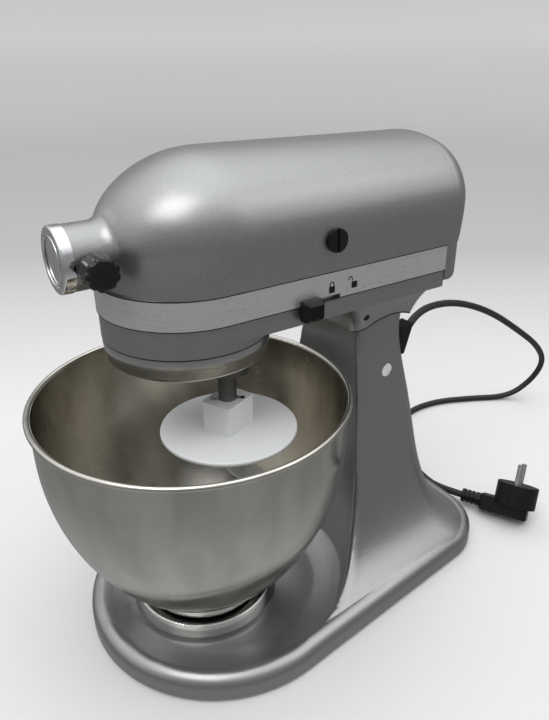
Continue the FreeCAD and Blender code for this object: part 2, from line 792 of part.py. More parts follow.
def bowl_foot_ring():
    """Polished ring that the bowl stands on."""
    body = new_body("bowl_foot_ring", "bowl_x")
    outer = "(bowl_foot_diameter / 2)"
    inner = "(bowl_foot_diameter / 2 - bowl_foot_wall)"
    heel_z = "(bowl_bottom_height + bowl_heel)"

    def seat(radius):
        return "%s - sqrt(bowl_heel ^ 2 - (%s - bowl_flat) ^ 2)" % (heel_z, radius)

    ring = [
        (inner, "bowl_foot_bottom"), (outer, "bowl_foot_bottom"),
        (outer, seat(outer), "cw", "bowl_heel"), (inner, seat(inner)),
    ]
    spin(body, "XZ", [ring])
    return body


# Head


def arch_loop(inset, top, lip, belly="(housing_belly_width / 2)", height="belly_height",
              rounding="belly_round"):
    """Upper cross-section of the head: a lip above the band, a belly and a crowned top."""
    full = "(housing_belly_width / 2 - housing_lip_width / 2)"
    flank = "(((belly_height - band_top) ^ 2 + %s ^ 2) / (2 * %s) - (%s))" % (full, full, inset)
    rise = "(%s - %s)" % (top, height)
    round_y = "(%s - %s)" % (belly, rounding)
    crown = "((%s ^ 2 + %s ^ 2 - %s ^ 2) / (2 * (%s - %s)))" % (round_y, rise, rounding, rise, rounding)
    share = "((%s - (%s)) / (%s - %s))" % (crown, inset, crown, rounding)
    turn_y = "(%s * %s)" % (round_y, share)
    turn_z = "(%s - %s + (%s - %s + %s) * %s)" % (top, crown, height, top, crown, share)
    wide = "(%s - (%s))" % (belly, inset)
    lip_in = "(%s - (%s))" % (lip, inset)
    rounding_in = "%s - (%s)" % (rounding, inset)
    return [
        ("-%s" % lip_in, "band_top", "cw", flank), ("-%s" % wide, height, "cw", rounding_in),
        ("-%s" % turn_y, turn_z, "cw", "%s - (%s)" % (crown, inset)), (turn_y, turn_z, "cw", rounding_in),
        (wide, height, "cw", flank), (lip_in, "band_top"),
    ]


def crown_loop(inset, drop, bottom, half="(band_width / 2 - band_thickness)"):
    """Whole cross-section of the head, with flat sides behind the band."""
    half_in = "(%s - (%s))" % (half, inset)
    arch = arch_loop(inset, "(overall_height - (%s))" % drop, "(housing_lip_width / 2)")
    return [
        ("-%s" % half_in, bottom), ("-%s" % half_in, "band_top"), *arch,
        (half_in, "band_top"), (half_in, bottom),
    ]


def nose_sections(body, inset, last):
    """Sketches of the head's nose, which narrows and drops from the straight part to the hub."""
    lip = "(housing_lip_width / 2)"
    sections = [draw(body, "YZ", [arch_loop(inset, "overall_height", lip)], "nose_start + nose_lead"),
                draw(body, "YZ", [arch_loop(inset, "overall_height", lip)], "nose_start")]
    for turn in (9, 18, 27, 36, 45, 54, 63, 72, 79, 84):
        if turn > last:
            break
        share = "cos(%d)" % turn
        ahead = "((nose_reach + nose_start) * sin(%d) - nose_start)" % turn
        loop = arch_loop(inset, "(nose_tip_height + (overall_height - nose_tip_height) * %s ^ 1.5)" % share,
                         "(housing_lip_width / 2 * sqrt(1 - (%s / nose_reach) ^ 2))" % ahead,
                         "(housing_belly_width / 2 * %s)" % share,
                         "(hub_height + (belly_height - hub_height) * %s)" % share,
                         "(belly_round * %s)" % share)
        sections.append(draw(body, "YZ", [loop], "(%s) * sin(%d) - %s" % (inset, turn, ahead)))
    return sections


def motor_housing():
    """Upper shell of the head with the hub barrel at its front."""
    body = new_body("motor_housing", "bowl_x")
    rear = "head_seam_x - bowl_x"
    front = "nose_start + nose_lead"
    loft(body, nose_sections(body, "0", 84))
    loft(body, [draw(body, "YZ", [crown_loop("0", "0", "parting_height")], front),
                draw(body, "YZ", [crown_loop("0", "housing_rear_drop", "parting_height")], rear)], ruled=True)
    barrel = [("circle", "0", "hub_height", "hub_diameter / 2")]
    pad(body, "YZ", barrel, "hub_face_x - bowl_x", "-hub_root")
    root = []
    for turn in (0, 20, 40, 55):
        ring = [("circle", "0", "hub_height", "hub_diameter / 2 + hub_blend * (1 - cos(%d))" % turn)]
        root.append(draw(body, "YZ", ring, "hub_blend * sin(%d) - hub_root" % turn))
    loft(body, root)
    collar = stadium_loop("(band_width / 2 - band_thickness)", rear, "0")
    pad(body, "XY", [collar], "parting_height", "band_top")
    loft(body, nose_sections(body, "housing_wall", 63), "SubtractiveLoft")
    loft(body, [draw(body, "YZ", [crown_loop("housing_wall", "0", "parting_height - 1")], front),
                draw(body, "YZ", [crown_loop("housing_wall", "housing_rear_drop", "parting_height - 1")],
                     rear)],
         "SubtractiveLoft", ruled=True)
    throat = stadium_loop("(band_width / 2 - band_thickness - housing_wall)", front, "0")
    pocket(body, "XY", [throat], "parting_height - 1", "band_top + 1")
    boss = [("circle", "0", "hub_height", "hub_boss_diameter / 2")]
    pad(body, "YZ", boss, "hub_bore_end - bowl_x - housing_wall", "hub_boss_rear_x - bowl_x")
    bore = [("circle", "0", "hub_height", "hub_bore_diameter / 2")]
    pocket(body, "YZ", bore, "hub_face_x - bowl_x - 1", "hub_bore_end - bowl_x")
    bearing = [("circle", "0", "hub_height", "hub_shaft_diameter / 2 + running_clearance")]
    pocket(body, "YZ", bearing, "hub_bore_end - bowl_x - 1", "hub_boss_rear_x - bowl_x + 1")
    holes = [("circle", "brush_x - bowl_x", "hub_height", "brush_holder_diameter / 2")]
    pocket(body, "XZ", holes, "-housing_belly_width", "housing_belly_width")
    stud = [("circle", "knob_x - bowl_x", "knob_z", "knob_stud_diameter / 2 + running_clearance")]
    pocket(body, "XZ", stud, "-knob_stud_end_y - 2", "hub_diameter")
    return body


def cover_loop(inset):
    """Cross-section of the end cover, drawn in by inset."""
    return crown_loop(inset, "housing_rear_drop", "end_cover_bottom + %s" % inset, "(band_width / 2)")


def rear_end_cover():
    """Rounded cover that closes the rear of the head."""
    body = new_body("rear_end_cover", "head_seam_x + running_clearance")
    straight = "(end_cover_depth - end_cover_round)"
    pad(body, "YZ", [cover_loop("0")], "0", straight)
    sections = []
    for turn in (0, 30, 60, 90):
        inset = "end_cover_round * (1 - cos(%d))" % turn
        sections.append(draw(body, "YZ", [cover_loop(inset)],
                             "%s + end_cover_round * sin(%d)" % (straight, turn)))
    loft(body, sections)
    pocket(body, "YZ", [cover_loop("housing_wall")], "-1", "end_cover_round / 3")
    pocket(body, "YZ", [cover_loop("housing_wall * 3")], "-1", "end_cover_round * 0.75")
    pocket(body, "YZ", [("circle", "0", "end_screw_z", "end_screw_shank / 2")], "0", "end_cover_depth + 1")
    return body


def end_cover_screw():
    """Screw that holds the end cover to the control plate."""
    body = new_body("end_cover_screw", "head_seam_x + running_clearance")
    pad(body, "YZ", [("circle", "0", "end_screw_z", "end_screw_head / 2")], "end_cover_depth",
        "end_cover_depth + end_screw_height")
    pad(body, "YZ", [("circle", "0", "end_screw_z", "end_screw_shank / 2")],
        "end_cover_depth - end_screw_length",
        "end_cover_depth")
    return body


def lower_gearcase():
    """Lower half of the head: tray, planetary cup at the front, and the neck with its hinge tongue."""
    body = new_body("lower_gearcase")
    half = "(band_width / 2 - band_thickness)"
    pad(body, "XY", [stadium_loop(half, "head_seam_x")], "gearcase_bottom", "parting_height")
    pad(body, "XY", [("circle", "bowl_x", "0", half)], "nose_bottom", "gearcase_bottom")
    neck = []
    for part in ("neck_top", "neck_mid", "neck_low"):
        loop = round_box_loop(part + "_front", part + "_rear", "-%s_half" % part, part + "_half",
                              "neck_corner")
        neck.append(draw(body, "XY", [loop], part + "_height"))
    loft(body, neck)
    seam = "(hinge_seam_radius + hinge_seam_gap)"
    reach = "%s * cos(10)" % seam
    rise = "hinge_height + %s * sin(10)" % seam
    below = [
        ("hinge_x - %s" % reach, rise, "cw", seam), ("hinge_x + %s" % reach, rise),
        ("hinge_x + %s" % reach, "bowl_rim_height / 2"), ("hinge_x - %s" % reach, "bowl_rim_height / 2"),
    ]
    pocket(body, "XZ", [below], "-neck_top_half", "neck_top_half")
    lug = "tongue_lug_radius"
    tongue = [
        ("hinge_x - %s" % lug, "hinge_height", "ccw", lug),
        ("hinge_x", "hinge_height - %s" % lug, "ccw", lug),
        ("hinge_x + %s" % lug, "hinge_height", "ccw", lug),
        ("hinge_x + tongue_rear_reach", "hinge_height + sqrt(%s ^ 2 - tongue_rear_reach ^ 2)" % lug),
        ("hinge_x + tongue_rear_reach", "neck_mid_height"), ("hinge_x - %s" % lug, "neck_mid_height"),
    ]
    pad(body, "XZ", [tongue], "-tongue_half_width", "tongue_half_width")
    pocket(body, "XY", [stadium_loop("side_inner", "head_seam_x - gearcase_wall")], "cup_top",
           "parting_height + 1")
    tray = box_loop("bowl_x + %s + gearcase_wall" % half, "head_seam_x - gearcase_wall", "-side_inner",
                    "side_inner")
    pocket(body, "XY", [tray], "tray_floor", "cup_top + 1")
    pocket(body, "XY", [("circle", "bowl_x", "0", "cup_diameter / 2")], "nose_bottom - 1", "cup_floor")
    bosses = [("circle", "bowl_x", "0", "centre_boss_diameter / 2")]
    pad(body, "XY", bosses, "cup_top - 1", "centre_boss_top")
    pad(body, "XY", [("circle", "transfer_x", "transfer_side", "transfer_boss_diameter / 2")], "cup_top - 1",
        "transfer_boss_top")
    pocket(body, "XY", [("circle", "bowl_x", "0", "centre_bush_diameter / 2")], "nose_bottom",
           "centre_boss_top + 1")
    step = "transfer_shaft_diameter / 2 + running_clearance"
    pocket(body, "XY", [("circle", "transfer_x", "transfer_side", step)], "transfer_seat",
           "transfer_boss_top + 1")
    middle = "(core_front_x + core_length / 2)"
    cradle = box_loop("%s - cradle_length / 2" % middle, "%s + cradle_length / 2" % middle,
                      "-cradle_half_width",
                      "cradle_half_width")
    pad(body, "XY", [cradle], "tray_floor - 1", "cradle_top")
    pocket(body, "YZ", [("circle", "0", "hub_height", "stator_diameter / 2")], "core_front_x - 1",
           "core_front_x + core_length + 1")
    stem = "(lever_stem_length / 2 + part_clearance)"
    lock = box_loop("lock_x - %s" % stem, "lock_x + lock_travel + %s" % stem, "lever_slot_bottom",
                    "lever_slot_top")
    pocket(body, "XZ", [lock], "side_inner - 1", "band_width / 2")
    speed = box_loop("speed_x - speed_travel - %s" % stem, "speed_x + %s" % stem, "lever_slot_bottom",
                     "lever_slot_top")
    pocket(body, "XZ", [speed], "-band_width / 2", "-side_inner + 1")
    pin = [("circle", "hinge_x", "hinge_height", "hinge_pin_diameter / 2 + running_clearance")]
    pocket(body, "XZ", pin, "-neck_top_half", "neck_top_half")
    screw = [("circle", "neck_screw_x", "neck_screw_height", "neck_screw_diameter / 2")]
    pocket(body, "XZ", screw, "neck_screw_face - neck_screw_length", "neck_top_half")
    return body


def neck_screw():
    """Grub screw in the neck's side."""
    body = new_body("neck_screw")
    screw = [("circle", "neck_screw_x", "neck_screw_height", "neck_screw_diameter / 2")]
    pad(body, "XZ", screw, "neck_screw_face - neck_screw_length", "neck_screw_face")
    return body


def trim_band():
    """Metal strip round the seam of the head, notched for the two levers."""
    body = new_body("trim_band")
    outer = "(band_width / 2)"
    inner = "(band_width / 2 - band_thickness)"
    strip = [
        ("bowl_x", outer, "ccw", outer), ("bowl_x - %s" % outer, "0", "ccw", outer),
        ("bowl_x", "-%s" % outer),
        ("head_seam_x", "-%s" % outer), ("head_seam_x", "-%s" % inner),
        ("bowl_x", "-%s" % inner, "cw", inner), ("bowl_x - %s" % inner, "0", "cw", inner), ("bowl_x", inner),
        ("head_seam_x", inner), ("head_seam_x", outer),
    ]
    pad(body, "XY", [strip], "band_bottom", "band_top")
    stem = "(lever_stem_length / 2 + part_clearance)"
    lock = box_loop("lock_x - %s" % stem, "lock_x + lock_travel + %s" % stem, "lever_slot_bottom",
                    "lever_slot_top")
    pocket(body, "XZ", [lock], "0", "band_width")
    speed = box_loop("speed_x - speed_travel - %s" % stem, "speed_x + %s" % stem, "lever_slot_bottom",
                     "lever_slot_top")
    pocket(body, "XZ", [speed], "-band_width", "0")
    return body


# Motor


def motor_bracket(label, x):
    """Upright that carries one end of the motor shaft, standing on the gearcase floor."""
    body = new_body(label)
    crown = "bracket_width / 2"
    arch = [
        ("-%s" % crown, "tray_floor"), (crown, "tray_floor"), (crown, "hub_height", "ccw", crown),
        ("0", "hub_height + %s" % crown, "ccw", crown), ("-%s" % crown, "hub_height"),
    ]
    hole = ("circle", "0", "hub_height", "motor_bush_diameter / 2")
    pad(body, "YZ", [arch, hole], "%s - bracket_thickness / 2" % x, "%s + bracket_thickness / 2" % x)
    return body


def motor_bushes():
    """Plain bearings of the motor shaft."""
    body = new_body("motor_bushes")
    for x in ("front_bracket_x", "rear_bracket_x"):
        tube(body, "YZ", "0", "hub_height", "motor_bush_diameter",
             "motor_shaft_diameter + 2 * running_clearance",
             "%s - bracket_thickness / 2" % x, "%s + bracket_thickness / 2" % x)
    return body


def field_stator():
    """Laminated field of the motor with the windows of its two poles."""
    body = new_body("field_stator")
    tube(body, "YZ", "0", "hub_height", "stator_diameter", "(core_diameter + 2 * stator_air_gap)",
         "core_front_x",
         "core_front_x + core_length")
    return body


def armature_shaft():
    """Motor shaft."""
    body = new_body("armature_shaft")
    pad(body, "YZ", [("circle", "0", "hub_height", "motor_shaft_diameter / 2")], "motor_shaft_front",
        "motor_shaft_rear")
    return body


def armature_core():
    """Slotted core of the armature."""
    body = new_body("armature_core", z="hub_height")
    tube(body, "YZ", "0", "0", "core_diameter", "motor_shaft_diameter", "core_front_x",
         "core_front_x + core_length")
    slot = box_loop("-core_slot_width / 2", "core_slot_width / 2", "core_diameter / 2 - core_slot_depth",
                    "core_diameter")
    cut = pocket(body, "YZ", [slot], "core_front_x - 1", "core_front_x + core_length + 1")
    spread(body, cut, "core_slots")
    return body


def spread(body, made, count):
    """Repeat a feature evenly about the X axis of its body."""
    axis = [part for part in body.Origin.OriginFeatures if part.Role == "X_Axis"][0]
    pattern = body.newObject("PartDesign::PolarPattern", body.Label + "_pattern")
    pattern.Originals = [made]
    pattern.Axis = (axis, [""])
    pattern.Angle = 360
    pattern.setExpression("Occurrences", bound(count))
    body.Tip = pattern
    return pattern


def commutator():
    """Copper commutator that the brushes run on."""
    body = new_body("commutator")
    tube(body, "YZ", "0", "hub_height", "commutator_diameter", "motor_shaft_diameter",
         "brush_x - commutator_length / 2", "brush_x + commutator_length / 2")
    return body


def cooling_fan():
    """Fan behind the motor."""
    body = new_body("cooling_fan", z="hub_height")
    tube(body, "YZ", "0", "0", "fan_hub", "motor_shaft_diameter", "fan_x", "fan_x + fan_width")
    blade = box_loop("-fan_blade / 2", "fan_blade / 2", "fan_hub / 2 - 1", "fan_diameter / 2")
    made = pad(body, "YZ", [blade], "fan_x", "fan_x + fan_width")
    spread(body, made, "fan_blades")
    return body


def control_plate():
    """Plate behind the motor that carries the speed switch."""
    body = new_body("control_plate")
    shape = box_loop("-control_plate_width / 2", "control_plate_width / 2", "parting_height",
                     "control_plate_top")
    pad(body, "YZ", [shape], "control_plate_x", "control_plate_x + control_plate_thickness")
    return body


def brush_holders():
    """Insulated tubes that guide the brushes, one a side."""
    body = new_body("brush_holders", "brush_x", "0", "hub_height")
    inner = "(commutator_diameter / 2 + 2)"
    outer = "(housing_belly_width / 2)"
    hole = box_loop("-brush_width / 2", "brush_width / 2", "-brush_depth / 2", "brush_depth / 2")
    loops = [("circle", "0", "0", "brush_holder_diameter / 2"), hole]
    pad(body, "XZ", loops, inner, outer)
    pad(body, "XZ", loops, "-%s" % outer, "-%s" % inner)
    return body


def carbon_brushes():
    """Carbon brushes that press on the commutator."""
    body = new_body("carbon_brushes", "brush_x", "0", "hub_height")
    inner = "(commutator_diameter / 2 + part_clearance)"
    block = box_loop("-brush_width / 2", "brush_width / 2", "-brush_depth / 2", "brush_depth / 2")
    pad(body, "XZ", [block], inner, inner + " + brush_length")
    pad(body, "XZ", [block], "-%s - brush_length" % inner, "-%s" % inner)
    return body


def brush_caps():
    """Slotted caps that close the brush holders."""
    body = new_body("brush_caps", "brush_x", "0", "hub_height")
    inner = "(housing_belly_width / 2)"
    outer = "(housing_belly_width / 2 + brush_cap_height)"
    disc = ("circle", "0", "0", "brush_cap_diameter / 2")
    slot = box_loop("-brush_cap_slot / 2", "brush_cap_slot / 2", "-brush_cap_diameter", "brush_cap_diameter")
    pad(body, "XZ", [disc], inner, outer)
    pad(body, "XZ", [disc], "-%s" % outer, "-%s" % inner)
    pocket(body, "XZ", [slot], outer + " - brush_cap_slot_depth", outer + " + 1")
    pocket(body, "XZ", [slot], "-%s - 1" % outer, "-%s + brush_cap_slot_depth" % outer)
    return body


# Gear teeth


def tooth_half_angle(radius, pitch, teeth, play):
    """Half the angle that a tooth of 20 degree pressure angle takes at a radius."""
    pressure = math.radians(20)
    base = pitch * math.cos(pressure)
    angle = math.acos(min(base / radius, 1))
    at_pitch = math.pi / (2 * teeth) - play / (2 * pitch)
    return at_pitch + math.tan(pressure) - pressure - (math.tan(angle) - angle)


def polar(radius, angle):
    """Point of a flat figure."""
    return FreeCAD.Vector(radius * math.cos(angle), radius * math.sin(angle), 0)


def gear_wire(teeth, pitch, root, tip, play):
    """Outline of a toothed wheel with a tooth on the X axis."""
    edges = []
    middle = (root + tip) / 2
    step = 2 * math.pi / teeth
    half = [tooth_half_angle(radius, pitch, teeth, play) for radius in (root, middle, tip)]
    for tooth in range(int(teeth)):
        turn = tooth * step
        rise = [polar(root, turn - half[0]), polar(middle, turn - half[1]), polar(tip, turn - half[2])]
        fall = [polar(tip, turn + half[2]), polar(middle, turn + half[1]), polar(root, turn + half[0])]
        rest = polar(root, turn + step - half[0])
        edges.append(Part.Arc(*rise).toShape())
        edges.append(Part.Arc(rise[2], polar(tip, turn), fall[0]).toShape())
        edges.append(Part.Arc(*fall).toShape())
        edges.append(Part.Arc(fall[2], polar(root, turn + step / 2), rest).toShape())
    return Part.Wire(edges)


def slab(wires, low, high):
    """Flat solid between two heights; the wires after the first are holes in it."""
    face = Part.Face(wires, "Part::FaceMakerBullseye")
    face.translate(FreeCAD.Vector(0, 0, low))
    return face.extrude(FreeCAD.Vector(0, 0, high - low))


def ring_wire(radius):
    """Full circle."""
    return Part.Wire([Part.makeCircle(radius)])


def shaped(label, shape, place):
    """Sub-part whose shape is worked out here, put in its place."""
    made = doc.addObject("Part::Feature", label)
    made.Label = label
    made.Shape = shape
    made.Placement = place
    return made


def upright(x, y, turn=0.0):
    """Placement on a vertical axis."""
    return FreeCAD.Placement(FreeCAD.Vector(x, y, 0), FreeCAD.Rotation(FreeCAD.Vector(0, 0, 1), turn))


def ring_gear():
    """Fixed ring with inner teeth that the beater pinion rolls round."""
    module = value("planet_module")
    teeth = value("ring_teeth")
    pitch = module * teeth / 2
    low = value("ring_gear_bottom")
    inside = gear_wire(teeth, pitch, pitch - 0.9 * module, pitch + 1.2 * module, -value("gear_backlash"))
    shape = slab([ring_wire(value("cup_diameter / 2")), inside], low, value("cup_floor"))
    return shaped("ring_gear", shape, upright(value("bowl_x"), 0, value("planet_angle")))


def beater_pinion():
    """Pinion on top of the beater shaft."""
    module = value("planet_module")
    teeth = value("beater_teeth")
    pitch = module * teeth / 2
    low = value("ring_gear_bottom")
    outline = gear_wire(teeth, pitch, pitch - 1.2 * module, pitch + 0.9 * module, value("gear_backlash"))
    shape = slab([outline, ring_wire(value("beater_shaft_diameter / 2"))], low,
                 low + value("ring_gear_height"))
    return shaped("beater_pinion", shape, upright(value("planet_x"), value("planet_y"),
                                                  value("planet_angle")))


def centre_gear():
    """Large spur gear on the centre shaft."""
    module = value("transfer_module")
    teeth = value("centre_teeth")
    pitch = module * teeth / 2
    low = value("centre_gear_bottom")
    high = low + value("centre_gear_height")
    bore = ring_wire(value("centre_shaft_diameter / 2"))
    outline = gear_wire(teeth, pitch, pitch - 1.2 * module, pitch + 0.9 * module, value("gear_backlash"))
    shape = slab([outline, bore], low, high)
    hub = slab([ring_wire(value("centre_gear_hub / 2")), bore], value("centre_boss_top + part_clearance"),
               low)
    mesh = math.degrees(math.asin(value("transfer_side / transfer_reach")))
    return shaped("centre_gear", shape.fuse(hub).removeSplitter(),
                  upright(value("bowl_x"), 0, mesh + 180 / teeth))


def transfer_pinion():
    """Small spur gear under the worm wheel."""
    module = value("transfer_module")
    teeth = value("transfer_teeth")
    pitch = module * teeth / 2
    low = value("centre_gear_bottom")
    bore = ring_wire(value("transfer_shaft_diameter / 2"))
    outline = gear_wire(teeth, pitch, pitch - 1.2 * module, pitch + 0.9 * module, value("gear_backlash"))
    shape = slab([outline, bore], low, low + value("centre_gear_height"))
    mesh = math.degrees(math.asin(value("transfer_side / transfer_reach")))
    return shaped("transfer_pinion", shape, upright(value("transfer_x"), value("transfer_side"), mesh + 180))


def worm_lead():
    """Axial advance of the worm in one turn."""
    return 2 * math.pi * value("wheel_pitch") / value("wheel_teeth") * value("worm_starts")


def worm_wheel():
    """Wheel with slanted teeth that the worm drives."""
    teeth = value("wheel_teeth")
    pitch = value("wheel_pitch")
    module = 2 * pitch / teeth
    face = value("wheel_face")
    twist = math.degrees(face * worm_lead() / (math.pi * value("worm_pitch_diameter")) / pitch)
    wires = []
    for side in (-0.5, 0.5):
        wire = gear_wire(teeth, pitch, pitch - 1.1 * module, pitch + 0.8 * module, value("gear_backlash"))
        wire.rotate(FreeCAD.Vector(0, 0, 0), FreeCAD.Vector(0, 0, 1), side * twist)
        wire.translate(FreeCAD.Vector(0, 0, side * face))
        wires.append(wire)
    shape = Part.makeLoft(wires, True, True)
    shape = shape.cut(Part.makeCylinder(value("transfer_shaft_diameter / 2"), face * 2,
                                        FreeCAD.Vector(0, 0, -face)))
    place = FreeCAD.Placement(vector("transfer_x", "transfer_side", "hub_height"),
                              FreeCAD.Rotation(FreeCAD.Vector(0, 0, 1), -90))
    return shaped("worm_wheel", shape, place)


def transfer_shaft():
    """Upright shaft of the worm wheel and its pinion."""
    body = new_body("transfer_shaft", "transfer_x", "transfer_side")
    pad(body, "XY", [("circle", "0", "0", "transfer_shaft_diameter / 2")], "transfer_seat + part_clearance",
        "transfer_shaft_top")
    collar = "transfer_shaft_diameter * 0.7"
    pad(body, "XY", [("circle", "0", "0", collar)], "centre_gear_bottom + centre_gear_height",
        "hub_height - wheel_face / 2")
    pad(body, "XY", [("circle", "0", "0", collar)], "transfer_boss_top + part_clearance",
        "centre_gear_bottom")
    return body


def motor_worm():
    """Two-start worm on the front of the motor shaft."""
    pitch = value("worm_pitch_diameter / 2")
    module = 2 * value("wheel_pitch") / value("wheel_teeth")
    length = value("worm_length")
    lead = worm_lead()
    root = pitch - 1.1 * module
    tip = pitch + 0.8 * module
    starts = int(value("worm_starts"))
    half_root = math.pi * module / 4 - value("gear_backlash") / 2 + 1.1 * module * math.tan(math.radians(20))
    half_tip = math.pi * module / 4 - value("gear_backlash") / 2 - 0.8 * module * math.tan(math.radians(20))
    sunk = root - 0.4
    slope = math.tan(math.radians(20)) * 0.4
    corners = [FreeCAD.Vector(sunk, 0, -half_root - slope), FreeCAD.Vector(tip, 0, -half_tip),
               FreeCAD.Vector(tip, 0, half_tip), FreeCAD.Vector(sunk, 0, half_root + slope)]
    profile = Part.makePolygon(corners + corners[:1])
    core = Part.makeCylinder(root, length)
    bound_tube = Part.makeCylinder(tip * 1.5, length)
    spine = Part.makeHelix(lead, length + lead, pitch)
    for start in range(starts):
        thread = Part.Wire(spine.Edges).makePipeShell([profile], True, True)
        thread.rotate(FreeCAD.Vector(0, 0, 0), FreeCAD.Vector(0, 0, 1), 360 / starts * start)
        thread.translate(FreeCAD.Vector(0, 0, -lead / 2))
        core = core.fuse(thread.common(bound_tube))
    core = core.cut(Part.makeCylinder(value("motor_shaft_diameter / 2"), length * 3,
                                      FreeCAD.Vector(0, 0, -length)))
    front = value("transfer_x") - length / 2
    phase = math.degrees(2 * math.pi * (length / 2 + lead / 2) / lead) + 90 - 180 / starts
    turn = FreeCAD.Rotation(FreeCAD.Vector(0, 1, 0), 90)
    about = FreeCAD.Rotation(FreeCAD.Vector(1, 0, 0), -phase)
    place = FreeCAD.Placement(FreeCAD.Vector(front, 0, value("hub_height")), about.multiply(turn))
    return shaped("motor_worm", core, place)


def bevel_gear(label, teeth, mate, place):
    """Straight bevel gear whose cone points at the shafts' crossing, here the origin, from below."""
    module = value("bevel_module")
    pitch = module * teeth / 2
    reach = module * mate / 2
    cone = math.hypot(pitch, reach)
    lean = math.atan2(pitch, reach)
    tip = reach * math.tan(lean + math.atan(0.55 * module / cone))
    root = reach * math.tan(lean - math.atan(0.9 * module / cone))
    wires = []
    for share in (1.0, value("bevel_face_share")):
        wire = gear_wire(teeth, pitch, root, tip, value("gear_backlash"))
        wire.scale(share)
        wire.translate(FreeCAD.Vector(0, 0, -reach * share))
        wires.append(wire)
    shape = Part.makeLoft(wires, True, True)
    back = Part.makeCylinder(root * 0.9, value("bevel_back"),
                             FreeCAD.Vector(0, 0, -reach - value("bevel_back")))
    return shaped(label, shape.fuse(back), place)


def centre_bevel():
    """Bevel gear on the centre shaft that drives the hub."""
    teeth = value("bevel_teeth")
    made = bevel_gear("centre_bevel", teeth, value("hub_bevel_teeth"), FreeCAD.Placement())
    bore = Part.makeCylinder(value("centre_shaft_diameter / 2"), 100, FreeCAD.Vector(0, 0, -60))
    high = -value("bevel_module") * value("hub_bevel_teeth") / 2 - value("bevel_back")
    low = value("centre_gear_bottom + centre_gear_height - hub_height")
    hub = Part.makeCylinder(value("centre_gear_hub / 2"), high - low, FreeCAD.Vector(0, 0, low))
    made.Shape = made.Shape.fuse(hub).cut(bore)
    made.Placement = FreeCAD.Placement(vector("bowl_x", "0", "hub_height"),
                                       FreeCAD.Rotation(FreeCAD.Vector(0, 0, 1), 180 / teeth + 180))
    return made


def hub_bevel():
    """Bevel pinion on the hub drive shaft."""
    made = bevel_gear("hub_bevel", value("hub_bevel_teeth"), value("bevel_teeth"), FreeCAD.Placement())
    bore = Part.makeCylinder(value("transfer_shaft_diameter / 2"), 100, FreeCAD.Vector(0, 0, -60))
    made.Shape = made.Shape.cut(bore)
    turn = FreeCAD.Rotation(FreeCAD.Vector(0, 1, 0), 90)
    made.Placement = FreeCAD.Placement(vector("bowl_x", "0", "hub_height"), turn)
    return made


def hub_drive_shaft():
    """Shaft in the hub with the square socket that turns an attachment."""
    body = new_body("hub_drive_shaft")
    axis = ("circle", "0", "hub_height", "hub_shaft_diameter / 2")
    flange = ("circle", "0", "hub_height", "hub_shaft_flange / 2")
    front = "hub_bore_end - hub_shaft_flange_thickness - part_clearance"
    pinion_back = "bowl_x - bevel_module * bevel_teeth / 2 - bevel_back"
    pad(body, "YZ", [flange], front, "hub_bore_end - part_clearance")
    pad(body, "YZ", [axis], "hub_bore_end - part_clearance", pinion_back)
    tail = ("circle", "0", "hub_height", "transfer_shaft_diameter / 2")
    pad(body, "YZ", [tail], pinion_back, "bowl_x - bevel_module * bevel_teeth / 2 * bevel_face_share")
    side = "hub_socket_square / 2"
    square = box_loop("-%s" % side, side, "hub_height - %s" % side, "hub_height + %s" % side)
    pocket(body, "YZ", [square], front + " - 1", front + " + hub_socket_depth")
    return body


# Planetary and hook


def planetary_carrier():
    """Carrier that turns on the centre shaft and swings the beater shaft round the bowl."""
    body = new_body("planetary_carrier", "bowl_x")
    outer = "carrier_diameter / 2"
    floor = "(carrier_bottom + carrier_wall)"
    pan = [
        ("0", "carrier_bottom"), (outer, "carrier_bottom"), (outer, "carrier_top"),
        (outer + " - carrier_wall", "carrier_top"), (outer + " - carrier_wall", floor),
        ("carrier_hub_diameter / 2", floor), ("carrier_hub_diameter / 2", "boss_top"), ("0", "boss_top"),
    ]
    spin(body, "XZ", [pan])
    x = "planet_offset * cos(planet_angle)"
    y = "planet_offset * sin(planet_angle)"
    pad(body, "XY", [("circle", x, y, "boss_diameter / 2")], "boss_bottom", "boss_top")
    bore = "beater_shaft_diameter / 2 + running_clearance"
    pocket(body, "XY", [("circle", x, y, bore)], "boss_bottom - 1", "boss_top + 1")
    pocket(body, "XY", [("circle", "0", "0", "centre_shaft_diameter / 2")], "centre_shaft_bottom",
           "boss_top + 1")
    return body


def drip_ring():
    """Satin ring round the planetary carrier."""
    body = new_body("drip_ring", "bowl_x")
    top = "drip_ring_top_diameter / 2"
    low = "drip_ring_bottom_diameter / 2"
    seat = "carrier_diameter / 2"
    shape = [
        (seat, "carrier_bottom"), (low + " - drip_ring_round", "carrier_bottom", "ccw", "drip_ring_round"),
        (low, "carrier_bottom + drip_ring_round"), (top, "drip_ring_top - 4"), (top, "drip_ring_top"),
        (top + " - drip_ring_wall", "drip_ring_top"), (top + " - drip_ring_wall", "drip_ring_top - 4"),
        (seat, "carrier_bottom + 3"),
    ]
    spin(body, "XZ", [shape])
    return body


def centre_shaft():
    """Upright shaft that joins the centre gear to the carrier."""
    body = new_body("centre_shaft", "bowl_x")
    pad(body, "XY", [("circle", "0", "0", "centre_shaft_diameter / 2")], "centre_shaft_bottom",
        "centre_shaft_top")
    return body


def centre_bush():
    """Plain bearing of the centre shaft."""
    body = new_body("centre_bush", "bowl_x")
    tube(body, "XY", "0", "0", "centre_bush_diameter", "centre_shaft_diameter + 2 * running_clearance",
         "cup_floor",
         "centre_boss_top")
    return body


